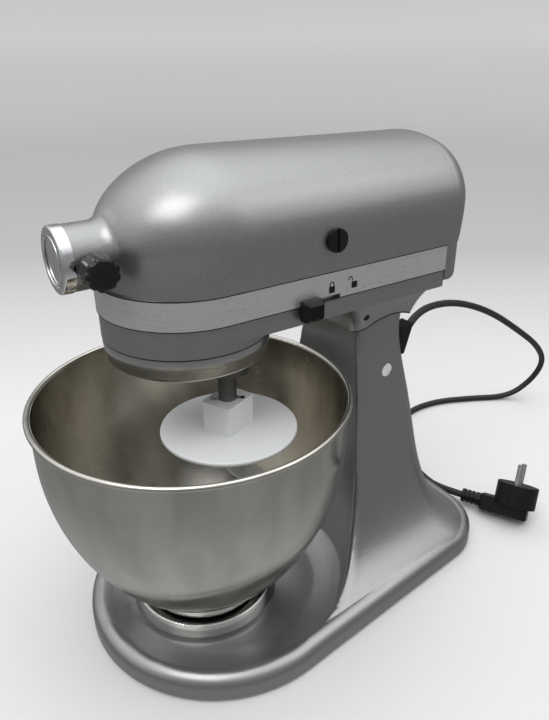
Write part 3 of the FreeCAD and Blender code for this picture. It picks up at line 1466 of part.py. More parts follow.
def beater_shaft():
    """Shaft that carries the hook."""
    body = new_body("beater_shaft", "planet_x", "planet_y")
    pad(body, "XY", [("circle", "0", "0", "beater_shaft_diameter / 2")], "beater_shaft_bottom",
        "beater_shaft_top")
    hole = [("circle", "0", "cross_pin_height", "cross_pin_diameter / 2")]
    pocket(body, "YZ", hole, "-cross_pin_length", "cross_pin_length")
    return body


def cross_pin():
    """Pin across the beater shaft that locks the hook."""
    body = new_body("cross_pin", "planet_x", "planet_y")
    pad(body, "YZ", [("circle", "0", "cross_pin_height", "cross_pin_diameter / 2")], "-cross_pin_length / 2",
        "cross_pin_length / 2")
    return body


def dough_hook():
    """Coated hook: slotted collar, flat guard disc and a bent arm."""
    body = new_body("dough_hook", "planet_x", "planet_y")
    disc_top = "(hook_disc_bottom + hook_disc_thickness)"
    pad(body, "XY", [("circle", "0", "0", "hook_disc_diameter / 2")], "hook_disc_bottom", disc_top)
    rim = value("hook_disc_diameter / 2")
    round_edges(body, "hook_disc_round", lambda edge: edge.BoundBox.XMax > rim - 0.01)
    collar = round_box_loop("-hook_collar_length / 2", "hook_collar_length / 2", "-hook_collar_width / 2",
                            "hook_collar_width / 2", "hook_collar_corner")
    pad(body, "XY", [collar], disc_top, "hook_collar_top")
    socket = "(beater_shaft_diameter / 2 + hook_socket_clearance)"
    pocket(body, "XY", [("circle", "0", "0", socket)], "beater_shaft_bottom - part_clearance",
           "hook_collar_top + 1")
    cut_hook_slot(body)
    add_hook_arm(body)
    return body


def cut_hook_slot(body):
    """Slot for the cross pin: a leg down from the collar's top and a turn to each side at its foot."""
    long = "(cross_pin_length / 2 + hook_slot_clearance)"
    wide = "(cross_pin_diameter / 2 + hook_slot_clearance)"
    low = "cross_pin_height - " + wide
    high = "cross_pin_height + " + wide
    tip = "sqrt(%s ^ 2 + %s ^ 2)" % (long, wide)
    cos_turn = "cos(hook_turn)"
    sin_turn = "sin(hook_turn)"
    far = ("%s * %s - %s * %s" % (long, cos_turn, wide, sin_turn),
           "-%s * %s - %s * %s" % (long, sin_turn, wide, cos_turn))
    near = ("-%s * %s" % (wide, sin_turn), "-%s * %s" % (wide, cos_turn))
    for sign in ("", "-"):
        sector = [
            ("0", sign + wide), ("%s(%s)" % (sign, near[0]), "%s(%s)" % (sign, near[1])),
            ("%s(%s)" % (sign, far[0]), "%s(%s)" % (sign, far[1]), "ccw", tip), (sign + long, sign + wide),
        ]
        pocket(body, "XY", [sector], low, high)
    other = ("%s * %s + %s * %s" % (long, cos_turn, wide, sin_turn),
             "-%s * %s + %s * %s" % (long, sin_turn, wide, cos_turn))
    leg = [far, other, ("-(%s)" % far[0], "-(%s)" % far[1]), ("-(%s)" % other[0], "-(%s)" % other[1])]
    pocket(body, "XY", [leg], low, "hook_collar_top + 1")


def add_hook_arm(body):
    """Round arm swept from the disc down one side of the bowl and back under the shaft."""
    low_x = "hook_elbow_radius * (1 - cos(hook_elbow_turn))"
    low_z = "hook_stem_bottom - hook_elbow_radius * sin(hook_elbow_turn)"
    swing = "(hook_elbow_turn - hook_sweep_turn)"
    end_x = "%s + hook_sweep_radius * (cos(%s) - cos(hook_elbow_turn))" % (low_x, swing)
    end_z = "%s + hook_sweep_radius * (sin(%s) - sin(hook_elbow_turn))" % (low_z, swing)
    start = "hook_disc_bottom + hook_disc_thickness / 2"
    rod = draw(body, "XY", [("circle", "0", "0", "hook_rod_diameter / 2")], start)
    path = draw(body, "XZ", [])
    corners = [
        ("0", start), ("0", "hook_stem_bottom", "ccw", "hook_elbow_radius"),
        (low_x, low_z, "cw", "hook_sweep_radius"),
        (end_x, end_z),
    ]
    add_outline(path, corners, closed=False)
    arm = feature(body, "AdditivePipe", rod)
    arm.Spine = (path, ["Edge1", "Edge2", "Edge3"])
    tip = vector(end_x, "0", end_z)
    round_edges(body, "hook_tip_round", lambda edge: (edge.CenterOfMass - tip).Length < 1)


# Levers, knob and hub cover


def lever_knob(label, x, side):
    """Knob of a slide lever with the stem in its slot; side is 1 for the -Y side, -1 for the other."""
    body = new_body(label, x)
    face = "(band_width / 2 + lever_knob_gap)"
    grip = box_loop("-lever_knob_length / 2", "lever_knob_length / 2", "lever_knob_bottom", "lever_knob_top")
    stem = box_loop("-lever_stem_length / 2", "lever_stem_length / 2", "lever_bar_bottom", "lever_bar_top")
    outer = "(%s + lever_knob_depth)" % face
    inner = "(side_inner - part_clearance)"
    both_ways(body, pad, grip, face, outer, side)
    reach = value(outer)
    round_edges(body, "lever_knob_chamfer", lambda edge: abs(abs(edge.CenterOfMass.y) - reach) < 0.01,
                "Chamfer")
    both_ways(body, pad, stem, inner, face, side)
    return body


def both_ways(body, make, loop, near, far, side):
    """Feature between two distances from the middle plane, on the -Y side or on the other."""
    if side > 0:
        return make(body, "XZ", [loop], near, far)
    return make(body, "XZ", [loop], "-%s" % far, "-%s" % near)


def lock_knob():
    """Knob of the lever that locks the head."""
    return lever_knob("lock_knob", "lock_x", 1)


def lock_bar():
    """Slide bar behind the lock knob."""
    body = new_body("lock_bar", "lock_x")
    bar = box_loop("-lever_stem_length / 2", "lever_bar_length - lever_stem_length / 2", "lever_bar_bottom",
                   "lever_bar_top")
    outer = "(side_inner - part_clearance)"
    both_ways(body, pad, bar, "(%s - lever_bar_depth)" % outer, outer, 1)
    return body


def speed_knob():
    """Knob of the speed lever on the far side."""
    return lever_knob("speed_knob", "speed_x", -1)


def speed_rod():
    """Link from the speed knob back to the speed switch."""
    body = new_body("speed_rod", "speed_x")
    outer = "(side_inner - part_clearance)"
    foot = box_loop("-lever_stem_length / 2", "lever_stem_length / 2", "lever_bar_bottom", "lever_bar_top")
    both_ways(body, pad, foot, "(%s - lever_bar_depth)" % outer, outer, -1)
    middle = ("circle", "%s - lever_bar_depth / 2" % outer, "(lever_bar_bottom + lever_bar_top) / 2",
              "speed_rod_diameter / 2")
    pad(body, "YZ", [middle], "0", "speed_rod_rear - speed_x")
    return body


def attachment_knob():
    """Thumb screw that holds an attachment in the hub."""
    body = new_body("attachment_knob", "knob_x", "0", "knob_z")
    inner = "(knob_end_y + knob_length)"
    seat = "(-hub_diameter / 2 - part_clearance)"
    profile = [
        ("0", "knob_end_y"), ("knob_diameter / 2", "knob_end_y"), ("knob_diameter / 2", inner),
        ("knob_neck_diameter / 2", inner), ("knob_neck_diameter / 2", seat), ("knob_stud_diameter / 2", seat),
        ("knob_stud_diameter / 2", "knob_stud_end_y"), ("0", "knob_stud_end_y"),
    ]
    spin(body, "XY", [profile])
    end = value("knob_end_y")
    round_edges(body, "knob_round", lambda edge: abs(edge.BoundBox.YMax - end) < 0.01)
    return body


def hub_cover():
    """Round cover that closes the hub."""
    body = new_body("hub_cover", "hub_face_x - cover_seat_gap", "0", "hub_height")
    edge = "(cover_diameter / 2)"
    plug = "(hub_bore_diameter / 2 - cover_plug_clearance)"
    profile = [
        ("-cover_thickness + cover_recess", "0"),
        ("-cover_thickness + cover_recess", "cover_recess_diameter / 2"),
        ("-cover_thickness", "cover_recess_diameter / 2"),
        ("-cover_thickness", edge + " - cover_dome", "cw", "cover_dome"),
        ("-cover_thickness + cover_dome", edge), ("0", edge), ("0", plug), ("cover_plug_length", plug),
        ("cover_plug_length", "0"),
    ]
    spin(body, "XY", [profile], "H_Axis")
    return body


def front_bracket():
    """Upright that carries the front of the motor shaft."""
    return motor_bracket("front_bracket", "front_bracket_x")


def rear_bracket():
    """Upright that carries the rear of the motor shaft."""
    return motor_bracket("rear_bracket", "rear_bracket_x")


# Cord


def cord_relief():
    """Block in the rear of the column with the sleeve that the cord leaves by."""
    body = new_body("cord_relief", "relief_x", "relief_y", "relief_height")
    turned(body, "z", "relief_turn")

    def local(x, y):
        along = "(%s) * cos(relief_turn) + (%s) * sin(relief_turn)" % (x, y)
        across = "(%s) * cos(relief_turn) - (%s) * sin(relief_turn)" % (y, x)
        return along, across

    front = "relief_front_x - relief_x"
    rear = "relief_rear_x - relief_x"
    side = "relief_width / 2"
    block = [local(front, "-" + side), local(rear, "-" + side), local(rear, side), local(front, side)]
    pad(body, "XY", [block], "relief_bottom - relief_height", "relief_top - relief_height")
    sleeve = [
        ("0", "0"), ("relief_sleeve_length", "0"), ("relief_sleeve_length", "relief_sleeve_tip / 2"),
        ("0", "relief_sleeve_diameter / 2"),
    ]
    spin(body, "XY", [sleeve], "H_Axis")
    return body


def plug_frame():
    """Placement of the plug as it lies on the table, pins up and leaning."""
    turn = FreeCAD.Rotation(FreeCAD.Vector(0, 0, 1), value("plug_turn"))
    roll = FreeCAD.Rotation(FreeCAD.Vector(1, 0, 0), value("plug_roll"))
    lean = FreeCAD.Rotation(FreeCAD.Vector(0, 1, 0), value("plug_tilt"))
    return FreeCAD.Placement(vector("plug_x", "plug_y", "plug_lift"), turn.multiply(roll).multiply(lean))


def place_plug(body):
    """Put a piece of the plug where the plug lies."""
    body.Placement = plug_frame()
    for axis, text in (("x", "plug_x"), ("y", "plug_y"), ("z", "plug_lift")):
        body.setExpression("Placement.Base.%s" % axis, bound(text))


def plug_body():
    """Angled plug: round face, block behind it and a ribbed sleeve for the cord."""
    body = new_body("plug_body")
    place_plug(body)
    block = round_box_loop("plug_block_rear", "plug_block_front", "-plug_block_width / 2",
                           "plug_block_width / 2", "plug_round")
    pad(body, "XY", [block], "0", "plug_block_height")
    pad(body, "XY", [("circle", "0", "0", "plug_face_diameter / 2")], "plug_face_bottom", "plug_face_top")
    pad(body, "YZ", [("circle", "0", "plug_sleeve_height", "plug_sleeve_diameter / 2")], "plug_sleeve_end",
        "plug_block_rear")
    for rib in range(1, 4):
        low = "plug_sleeve_end + plug_rib_pitch * (%d - 0.25)" % rib
        ring = [("circle", "0", "plug_sleeve_height", "plug_sleeve_diameter / 2 + 1"),
                ("circle", "0", "plug_sleeve_height", "plug_sleeve_diameter / 2 - plug_rib_depth")]
        pocket(body, "YZ", ring, low, low + " + plug_rib_pitch / 2")
    return body


def plug_pins():
    """The plug's two round pins."""
    body = new_body("plug_pins")
    place_plug(body)
    loops = [("circle", "0", sign + "plug_pin_spacing / 2", "plug_pin_diameter / 2") for sign in ("", "-")]
    pad(body, "XY", loops, "plug_face_top", "plug_face_top + plug_pin_length")
    return body


def cord_route():
    """Points that the cord is led through, from the strain relief to the plug."""
    turn = math.radians(value("relief_turn"))
    ahead = FreeCAD.Vector(math.cos(turn), math.sin(turn), 0)
    start = vector("relief_x", "relief_y", "relief_height") + ahead * value("relief_sleeve_length")
    lie = value("cord_diameter / 2")
    end = plug_frame().multVec(vector("plug_sleeve_end", "0", "plug_sleeve_height"))
    back = plug_frame().Rotation.multVec(FreeCAD.Vector(-1, 0, 0))
    in_air = [
        (188, 26, 189), (241, 36, 178), (297, 39, 154), (349, 40, 121), (397, 42, 88), (428, 49, 56),
        (428, 60, 26),
    ]
    on_table = [(404, 73), (362, 97), (318, 117), (272, 118), (232, 94), (205, 57), (193, 14)]
    points = [start, start + ahead * 32]
    points += [FreeCAD.Vector(*point) for point in in_air]
    points += [FreeCAD.Vector(x, y, lie) for x, y in on_table]
    points += [end + back * 24, end]
    return points


def power_cord():
    """Mains lead: straight runs joined by arcs that touch them."""
    points = cord_route()
    edges = []
    radii = []
    here = points[0]
    for before, corner, after in zip(points, points[1:], points[2:]):
        into = (corner - before).normalize()
        out = (after - corner).normalize()
        turn = into.getAngle(out)
        reach = 0.45 * min((corner - before).Length, (after - corner).Length)
        radii.append(reach / math.tan(turn / 2))
        first = corner - into * reach
        last = corner + out * reach
        inward = (out - into).normalize()
        middle = corner + inward * (radii[-1] / math.cos(turn / 2) - radii[-1])
        edges.append(Part.makeLine(here, first))
        edges.append(Part.Arc(first, middle, last).toShape())
        here = last
    edges.append(Part.makeLine(here, points[-1]))
    spine = Part.Wire(edges)
    radius = value("cord_diameter / 2")
    section = Part.Wire([Part.makeCircle(radius, points[0], points[1] - points[0])])
    shape = spine.makePipeShell([section], True, False)
    wanted = math.pi * radius ** 2 * spine.Length
    print("cord length %.1f, bend radii %s" % (spine.Length, ["%.0f" % bend for bend in radii]))
    print("cord volume %.0f, section times length %.0f" % (shape.Volume, wanted))
    return shaped("power_cord", shape, FreeCAD.Placement())


BUILDERS = [
    base_casting, base_feet, bowl_clamp_plate, clamp_plate_screws, hinge_pin, neck_screw, bowl_shell,
    bowl_foot_ring, motor_housing, rear_end_cover, end_cover_screw, lower_gearcase, trim_band, motor_bushes,
    field_stator, armature_shaft, armature_core, commutator, cooling_fan, control_plate, brush_holders,
    carbon_brushes, brush_caps, ring_gear, beater_pinion, centre_gear, transfer_pinion, worm_wheel,
    transfer_shaft,
    motor_worm, centre_bevel, hub_bevel, hub_drive_shaft, planetary_carrier, drip_ring, centre_shaft,
    centre_bush,
    beater_shaft, cross_pin, dough_hook, front_bracket, rear_bracket, lock_knob, lock_bar, speed_knob,
    speed_rod,
    attachment_knob, hub_cover, cord_relief, plug_body, plug_pins, power_cord,
]


def main():
    """Build every sub-part, check it and write it out."""
    made = [builder() for builder in BUILDERS]
    doc.recompute()
    for thing in doc.Objects:
        if "Invalid" in thing.State or "Error" in thing.State:
            raise RuntimeError("%s did not build" % thing.Label)
    for part in made:
        if part.Shape.isNull() or not part.Shape.isValid():
            raise RuntimeError("%s has no valid shape" % part.Label)
    os.makedirs("parts", exist_ok=True)
    for part in made:
        part.Shape.exportStep("parts/%s.step" % part.Label)
    print("%d sub-parts written" % len(made))


main()
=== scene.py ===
"""Looks of the stand mixer: finishes, fine forms, cord and studio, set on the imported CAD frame."""

import json
import math

import bmesh
import bpy
from bpy.props import FloatProperty, FloatVectorProperty, PointerProperty
from bpy.types import Operator, Panel, PropertyGroup
from mathutils import Matrix, Vector
from mathutils.kdtree import KDTree


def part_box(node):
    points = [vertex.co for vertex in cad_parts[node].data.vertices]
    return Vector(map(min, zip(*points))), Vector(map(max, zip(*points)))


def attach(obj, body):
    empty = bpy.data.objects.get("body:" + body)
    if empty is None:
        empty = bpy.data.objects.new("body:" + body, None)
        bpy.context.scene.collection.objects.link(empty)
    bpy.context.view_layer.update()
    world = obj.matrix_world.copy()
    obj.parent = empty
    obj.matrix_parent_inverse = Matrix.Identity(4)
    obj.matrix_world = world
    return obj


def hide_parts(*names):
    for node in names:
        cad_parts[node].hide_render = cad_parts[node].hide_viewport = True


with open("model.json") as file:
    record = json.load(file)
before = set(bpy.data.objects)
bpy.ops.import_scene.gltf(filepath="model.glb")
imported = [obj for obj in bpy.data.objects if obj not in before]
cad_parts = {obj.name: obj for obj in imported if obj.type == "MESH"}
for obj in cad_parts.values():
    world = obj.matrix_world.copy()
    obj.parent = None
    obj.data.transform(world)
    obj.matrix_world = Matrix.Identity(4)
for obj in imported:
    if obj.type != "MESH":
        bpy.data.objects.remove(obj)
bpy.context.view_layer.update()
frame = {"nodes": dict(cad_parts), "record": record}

# The head's band: the bowl's axis that it turns about, its half width, its rear end and its edges
BOWL_X = -0.0685
BAND_HALF = 0.0558
BAND_REAR = 0.111
BAND_BOTTOM = 0.2592
BAND_TOP = 0.2784

# The dish of the base: its axis, then the radius and height of its floor, brim and upright wall
DISH_X = -0.052
DISH_FLOOR = 0.080
DISH_DEPTH = 0.015
DISH_RIM = 0.0955
DISH_BRIM = 0.0216
DISH_SIDE = 0.1076
DISH_TOP = 0.096

# Rounding of the dish: half width of the column's middle, which has none, then how it is found and smoothed
COLUMN_MIDDLE = 0.017
LIP_ANGLE = 10.0
LIP_SLACK = 0.0006
BRIM_SLACK = 0.001
LIP_NEAR = 0.014
LIP_EDGE = 0.0024
LIP_CUTS = 7
LIP_TURNS = 54
LIP_REACH = 0.013
LIP_STEP = 0.00015

# The head's hinge: its axis, the neck's lower edge, and the painted shadow line in the gap under that edge
HINGE_X = 0.0754
HINGE_Z = 0.1829
SEAM_RADIUS = 0.0472
HINGE_SHADOW_DEPTH = 0.0011
HINGE_SHADOW_THICK = 0.0003
SEAM_SLACK = 0.0001
SEAM_ANGLE = 0.6
NECK_SLOT = 0.016
NECK_FRONT = HINGE_X - 0.015

# The dough hook: its axis, and the height of its collar's foot
HOOK_X = -0.05366
HOOK_Y = -0.02375
HOOK_FOOT = 0.172

# The hook's collar in the CAD: its half sizes, those of its flats, and the radii that hold its outside
COLLAR_HALF = (0.0145, 0.0115)
COLLAR_FLAT = (0.0085, 0.0055)
COLLAR_INNER = 0.0125
COLLAR_OUTER = 0.019

# The collar as it is shown: its turn in degrees, and how much slimmer, sharper and lower it is
COLLAR_TURN = 21.5
COLLAR_SLIM = 0.84
COLLAR_SHARP = 0.25
COLLAR_DROP = 0.003

# The hinge pin's ends: width of the rim, how far it is sunk, then the dome's width and height
PIN_RIM = 0.0007
PIN_SINK = 0.0018
PIN_DOME = 0.0016
PIN_CROWN = 0.0004

# The block of the cord relief: its front, middle and half width, the draw of its foot and the rise of its top
RELIEF_FRONT = 0.108
RELIEF_Y = -0.0245
RELIEF_HALF = 0.0075
RELIEF_DRAW = 0.0075
RELIEF_RISE = 0.005

# The clamp plate's polished rim: where it starts, outwards from the axis and upwards from the plate's foot
CLAMP_RIM = 0.050
CLAMP_LIFT = 0.0031

# Painted shadow lines and printed marks: how far they stand proud, the thickness of a line, and the height of
# a mark
LINE_PROUD = 0.00003
LINE_THICK = 0.0002
MARK_THICK = 0.00006

# Widths of the painted shadow lines in the gaps: at the band's edges, and above and below the drip ring's top
BAND_SHADOW_TOP = 0.0009
BAND_SHADOW_BOTTOM = 0.0007
DRIP_ABOVE = 0.0002
DRIP_BELOW = 0.0006

# The padlock marks: their height, the places of the two, and how far the open shackle is moved up and aside
MARK_HEIGHT = 0.2662
MARK_CLOSED_X = 0.0071
MARK_OPEN_X = 0.0256
SHACKLE_LIFT = 0.0006
SHACKLE_SHIFT = -0.0034

# A padlock's shares of its width: its height, the shackle's radii, where it starts, and its two legs
LOCK_TALL = 0.95
SHACKLE_INNER = 0.24
SHACKLE_OUTER = 0.40
SHACKLE_START = 0.45
SHACKLE_LEG = 0.34
SHACKLE_SHORT = 0.12

# Flutes of the attachment knob: how many, their depth, and the share of the radius where they start
FLUTES = 9
FLUTE_DEPTH = 0.09
FLUTE_START = 0.80

# The ring on the hub cover: the radius of its wire, and its own as a share of the cover's width
RING_THICK = 0.0005
RING_SHARE = 0.36

# Ribs of a lever's knob: how many, the free ends and height of the knob, then their own sizes
RIBS = 6
RIB_MARGIN = 0.002
RIB_SPARE = 0.0045
RIB_WIDTH = 0.55
RIB_DEPTH = 0.0014
RIB_SUNK = 0.0002
RIB_ROUND = 0.0004

# Slack: vertices that are one, edges that are none, and vertices at one height
MERGE = 0.000002
SHORTEST = 0.000001
LEVEL = 0.00002

# The studio floor, as radius and height from its middle to its upper edge
FLOOR_RUN = ((0.0, 0.0), (1.7, 0.0), (2.3, 0.05), (2.8, 0.3), (3.1, 0.8), (3.2, 2.0))

# The photograph's camera: place, yaw, pitch and roll in degrees, lens in millimetres, heading on the floor
CAMERA_PLACE = (-0.24183, -0.36004, 0.40796)
CAMERA_TURN = (56.07, -26.0, -0.46)
CAMERA_LENS = 32.70
HEADING_X = 0.559
HEADING_Y = 0.829

# The fill light's share of the key light's power
FILL_SHARE = 0.35

bl_info = {
    "name": "Stand mixer looks",
    "version": (1, 0, 0),
    "blender": (4, 5, 0),
    "location": "3D View > Sidebar > Mixer",
    "description": "Dresses the stand mixer's frame with finishes, fine forms, a cord and a studio",
    "category": "Object",
}


def colour(label, note, red, green, blue):
    """A colour that the panel can change."""
    return FloatVectorProperty(name=label, description=note, default=(red, green, blue), subtype="COLOR",
                               size=3, min=0.0, max=1.0)


def length(label, note, metres):
    """A length that the panel can change."""
    return FloatProperty(name=label, description=note, default=metres, min=0.0, subtype="DISTANCE",
                         unit="LENGTH")


class FinishSettings(PropertyGroup):
    """Colours of the mixer's finishes."""

    paint: colour("Silver paint", "Metallic paint of the head and stand", 0.34, 0.34, 0.341)
    aluminium: colour("Satin aluminium", "Trim band and drip ring", 0.66, 0.66, 0.65)
    bowl: colour("Bowl steel", "Brushed steel of the bowl", 0.60, 0.575, 0.52)
    coating: colour("Hook coating", "White coating of the dough hook", 0.72, 0.73, 0.72)
    plastic: colour("Black plastic", "Knobs, levers, caps and plug", 0.006, 0.006, 0.0065)


class TrimSettings(PropertyGroup):
    """Sizes of the small trim."""

    icon: length("Padlock width", "Width of a padlock mark on the band", 0.0046)
    edge: length("Broken edge", "Width of the rounding on sharp edges", 0.0003)


class StudioSettings(PropertyGroup):
    """Floor and lights."""

    floor: colour("Floor", "Pale floor and its rising edge", 0.70, 0.692, 0.68)
    key: FloatProperty(name="Key light", description="Power of the large soft light", default=11.0, min=0.0,
                       unit="POWER")
    sky: FloatProperty(name="Room light", description="Strength of the light from the room", default=0.93,
                       min=0.0)


class Value:
    """A shader socket that takes part in Python expressions."""

    def __init__(self, finish, socket):
        self.finish = finish
        self.socket = socket

    def join(self, operation, first, second):
        return self.finish.add("ShaderNodeMath", {"operation": operation}, {0: first, 1: second})

    def __add__(self, other):
        return self.join("ADD", self, other)

    def __radd__(self, other):
        return self.join("ADD", other, self)

    def __sub__(self, other):
        return self.join("SUBTRACT", self, other)

    def __rsub__(self, other):
        return self.join("SUBTRACT", other, self)

    def __mul__(self, other):
        return self.join("MULTIPLY", self, other)

    def __rmul__(self, other):
        return self.join("MULTIPLY", other, self)

    def __pow__(self, other):
        return self.join("POWER", self, other)


class Nodes:
    """A shader tree under construction."""

    def __init__(self, tree):
        self.tree = tree
        self.tree.nodes.clear()

    def feed(self, socket, given):
        """Links a value to a socket, or sets a constant on it."""
        if isinstance(given, Value):
            self.tree.links.new(given.socket, socket)
        else:
            socket.default_value = given

    def add(self, kind, settings=None, inputs=None, output=0):
        """Adds a node: its settings first, then the values or links of its sockets."""
        node = self.tree.nodes.new(kind)
        for name, setting in (settings or {}).items():
            setattr(node, name, setting)
        for name, given in (inputs or {}).items():
            self.feed(node.inputs[name], given)
        return Value(self, node.outputs[output]) if node.outputs else node

    def place(self, centre=(0.0, 0.0, 0.0), scale=(1.0, 1.0, 1.0)):
        """Object coordinates about a centre, stretched by scale."""
        spot = self.add("ShaderNodeTexCoord", output=3)
        shift = tuple(-c * s for c, s in zip(centre, scale))
        return self.add("ShaderNodeMapping", None, {"Vector": spot, "Location": shift, "Scale": scale})

    def axes(self, vector):
        """The three parts of a vector."""
        parts = self.add("ShaderNodeSeparateXYZ", None, {0: vector}).socket.node.outputs
        return [Value(self, part) for part in parts]

    def noise(self, vector, scale, detail=2.0, rough=0.5):
        return self.add("ShaderNodeTexNoise", None,
                        {"Vector": vector, "Scale": scale, "Detail": detail, "Roughness": rough})

    def range(self, value, low, high, first, last):
        """Value carried from low..high to first..last, held at the ends."""
        return self.add("ShaderNodeMapRange", {"clamp": True},
                        {0: value, 1: low, 2: high, 3: first, 4: last})

    def mix(self, factor, first, second):
        """Colour between first and second."""
        return self.add("ShaderNodeMix", {"data_type": "RGBA"}, {0: factor, 6: first, 7: second}, 2)

    def bump(self, height, distance, strength):
        return self.add("ShaderNodeBump", None,
                        {"Strength": strength, "Distance": distance, "Height": height})


class Finish(Nodes):
    """A procedural material of one shader."""

    def __init__(self, name):
        self.material = bpy.data.materials.new(name)
        self.material.use_nodes = True
        super().__init__(self.material.node_tree)
        self.output = self.tree.nodes.new("ShaderNodeOutputMaterial")
        self.shader = self.tree.nodes.new("ShaderNodeBsdfPrincipled")
        self.tree.links.new(self.shader.outputs[0], self.output.inputs[0])

    def shade(self, inputs):
        """Feeds the shader's sockets and hands the material over."""
        for name, given in inputs.items():
            self.feed(self.shader.inputs[name], given)
        return self.material


def opaque(shade, factor=1.0):
    """A colour property as a socket colour, lighter or darker by factor."""
    return tuple(min(1.0, c * factor) for c in shade) + (1.0,)


def silver_paint():
    """Metallic paint with fine flakes under a satin lacquer."""
    shade = bpy.context.scene.mixer_finish.paint
    finish = Finish("silver_paint")
    spot = finish.place()
    flakes = finish.add("ShaderNodeTexVoronoi", None, {"Vector": spot, "Scale": 2200.0}, 1)
    sparkle = finish.add("ShaderNodeSeparateColor", None, {0: flakes})
    cloud = finish.noise(spot, 26.0, 3.0)
    tone = 0.8 * sparkle + 0.2 * cloud
    peel = finish.noise(spot, 620.0, 1.0)
    grain = finish.noise(spot, 2600.0, 1.0)
    return finish.shade({
        "Base Color": finish.mix(tone, opaque(shade, 0.88), opaque(shade, 1.12)),
        "Metallic": 0.9,
        "Roughness": finish.range(sparkle, 0.0, 1.0, 0.33, 0.41),
        "Coat Weight": 0.15,
        "Coat Roughness": 0.2,
        "Normal": finish.bump(0.6 * peel + 0.4 * grain, 0.00003, 0.4),
    })


def cast_metal(name, shade, rough, metallic=1.0, scale=900.0):
    """Plain metal with a fine irregular surface."""
    finish = Finish(name)
    spot = finish.place()
    fine = finish.noise(spot, scale, 3.0)
    broad = finish.noise(spot, 60.0, 3.0)
    return finish.shade({
        "Base Color": finish.mix(broad, opaque(shade, 0.82), opaque(shade, 1.12)),
        "Metallic": metallic,
        "Roughness": finish.range(fine, 0.25, 0.75, rough * 0.85, rough * 1.2),
        "Normal": finish.bump(fine, 0.00003, 0.5),
    })


def drawn_metal(name, shade, rough, stretch, metallic):
    """Metal brushed along the axes that stretch makes long."""
    finish = Finish(name)
    lines = finish.noise(finish.place(scale=stretch), 1400.0, 3.0, 0.6)
    broad = finish.noise(finish.place(), 40.0, 3.0)
    return finish.shade({
        "Base Color": finish.mix(lines, opaque(shade, 0.86), opaque(shade, 1.10)),
        "Metallic": metallic,
        "Roughness": finish.range(0.6 * lines + 0.4 * broad, 0.3, 0.7, rough * 0.8, rough * 1.2),
        "Normal": finish.bump(lines, 0.00003, 0.25),
    })


def turned_metal(name, shade, rough, centre, lay, axis="Z", stain=0.0):
    """Metal brushed round an axis through centre, with smears as strong as stain."""
    finish = Finish(name)
    across = finish.axes(finish.place(centre))
    along = across.pop("XYZ".index(axis))
    reach = (across[0] * across[0] + across[1] * across[1]) ** 0.5
    turn = finish.add("ShaderNodeMath", {"operation": "ARCTAN2"}, {0: across[0], 1: across[1]})
    ring = finish.add("ShaderNodeCombineXYZ", None, {0: turn * 0.004, 1: reach, 2: along})
    lines = finish.noise(ring, 1600.0, 4.0, 0.65)
    broad = finish.noise(finish.place(centre), 24.0, 4.0, 0.6)
    smear = finish.noise(finish.place(centre, (1.0, 1.0, 0.45)), 42.0, 2.0, 0.5)
    tone = 0.6 * lines + 0.4 * broad + stain * finish.range(smear, 0.35, 0.65, -0.5, 0.5)
    smooth = rough * (0.8 - 0.3 * stain)
    dull = rough * (1.25 + 0.2 * stain)
    return finish.shade({
        "Base Color": finish.mix(tone, opaque(shade, 0.84), opaque(shade, 1.12)),
        "Metallic": 1.0,
        "Roughness": finish.range(0.5 * lines + 0.5 * smear, 0.3, 0.7, smooth, dull),
        "Anisotropic": lay,
        "Normal": finish.bump(lines, 0.00003, 0.3),
    })


def moulded(name, shade, rough, grain=900.0, sheen=0.5):
    """Moulded plastic or rubber with a fine grain."""
    finish = Finish(name)
    spot = finish.place()
    fine = finish.noise(spot, grain, 2.0)
    broad = finish.noise(spot, 45.0, 3.0)
    return finish.shade({
        "Base Color": finish.mix(broad, opaque(shade, 0.75), opaque(shade, 1.35)),
        "Roughness": finish.range(0.5 * fine + 0.5 * broad, 0.3, 0.7, rough * 0.85, rough * 1.15),
        "Specular IOR Level": sheen,
        "Normal": finish.bump(fine, 0.00004, 0.5),
    })


def white_coating():
    """Smooth white coating with a soft gloss."""
    shade = bpy.context.scene.mixer_finish.coating
    finish = Finish("white_coating")
    spot = finish.place()
    peel = finish.noise(spot, 420.0, 2.0)
    broad = finish.noise(spot, 30.0, 3.0)
    return finish.shade({
        "Base Color": finish.mix(broad, opaque(shade, 0.95), opaque(shade, 1.04)),
        "Roughness": finish.range(broad, 0.3, 0.7, 0.34, 0.44),
        "Normal": finish.bump(peel, 0.00005, 0.4),
    })


def middle_of(node):
    """The middle of a CAD node's box."""
    return [(a + b) / 2 for a, b in zip(*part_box(node))]


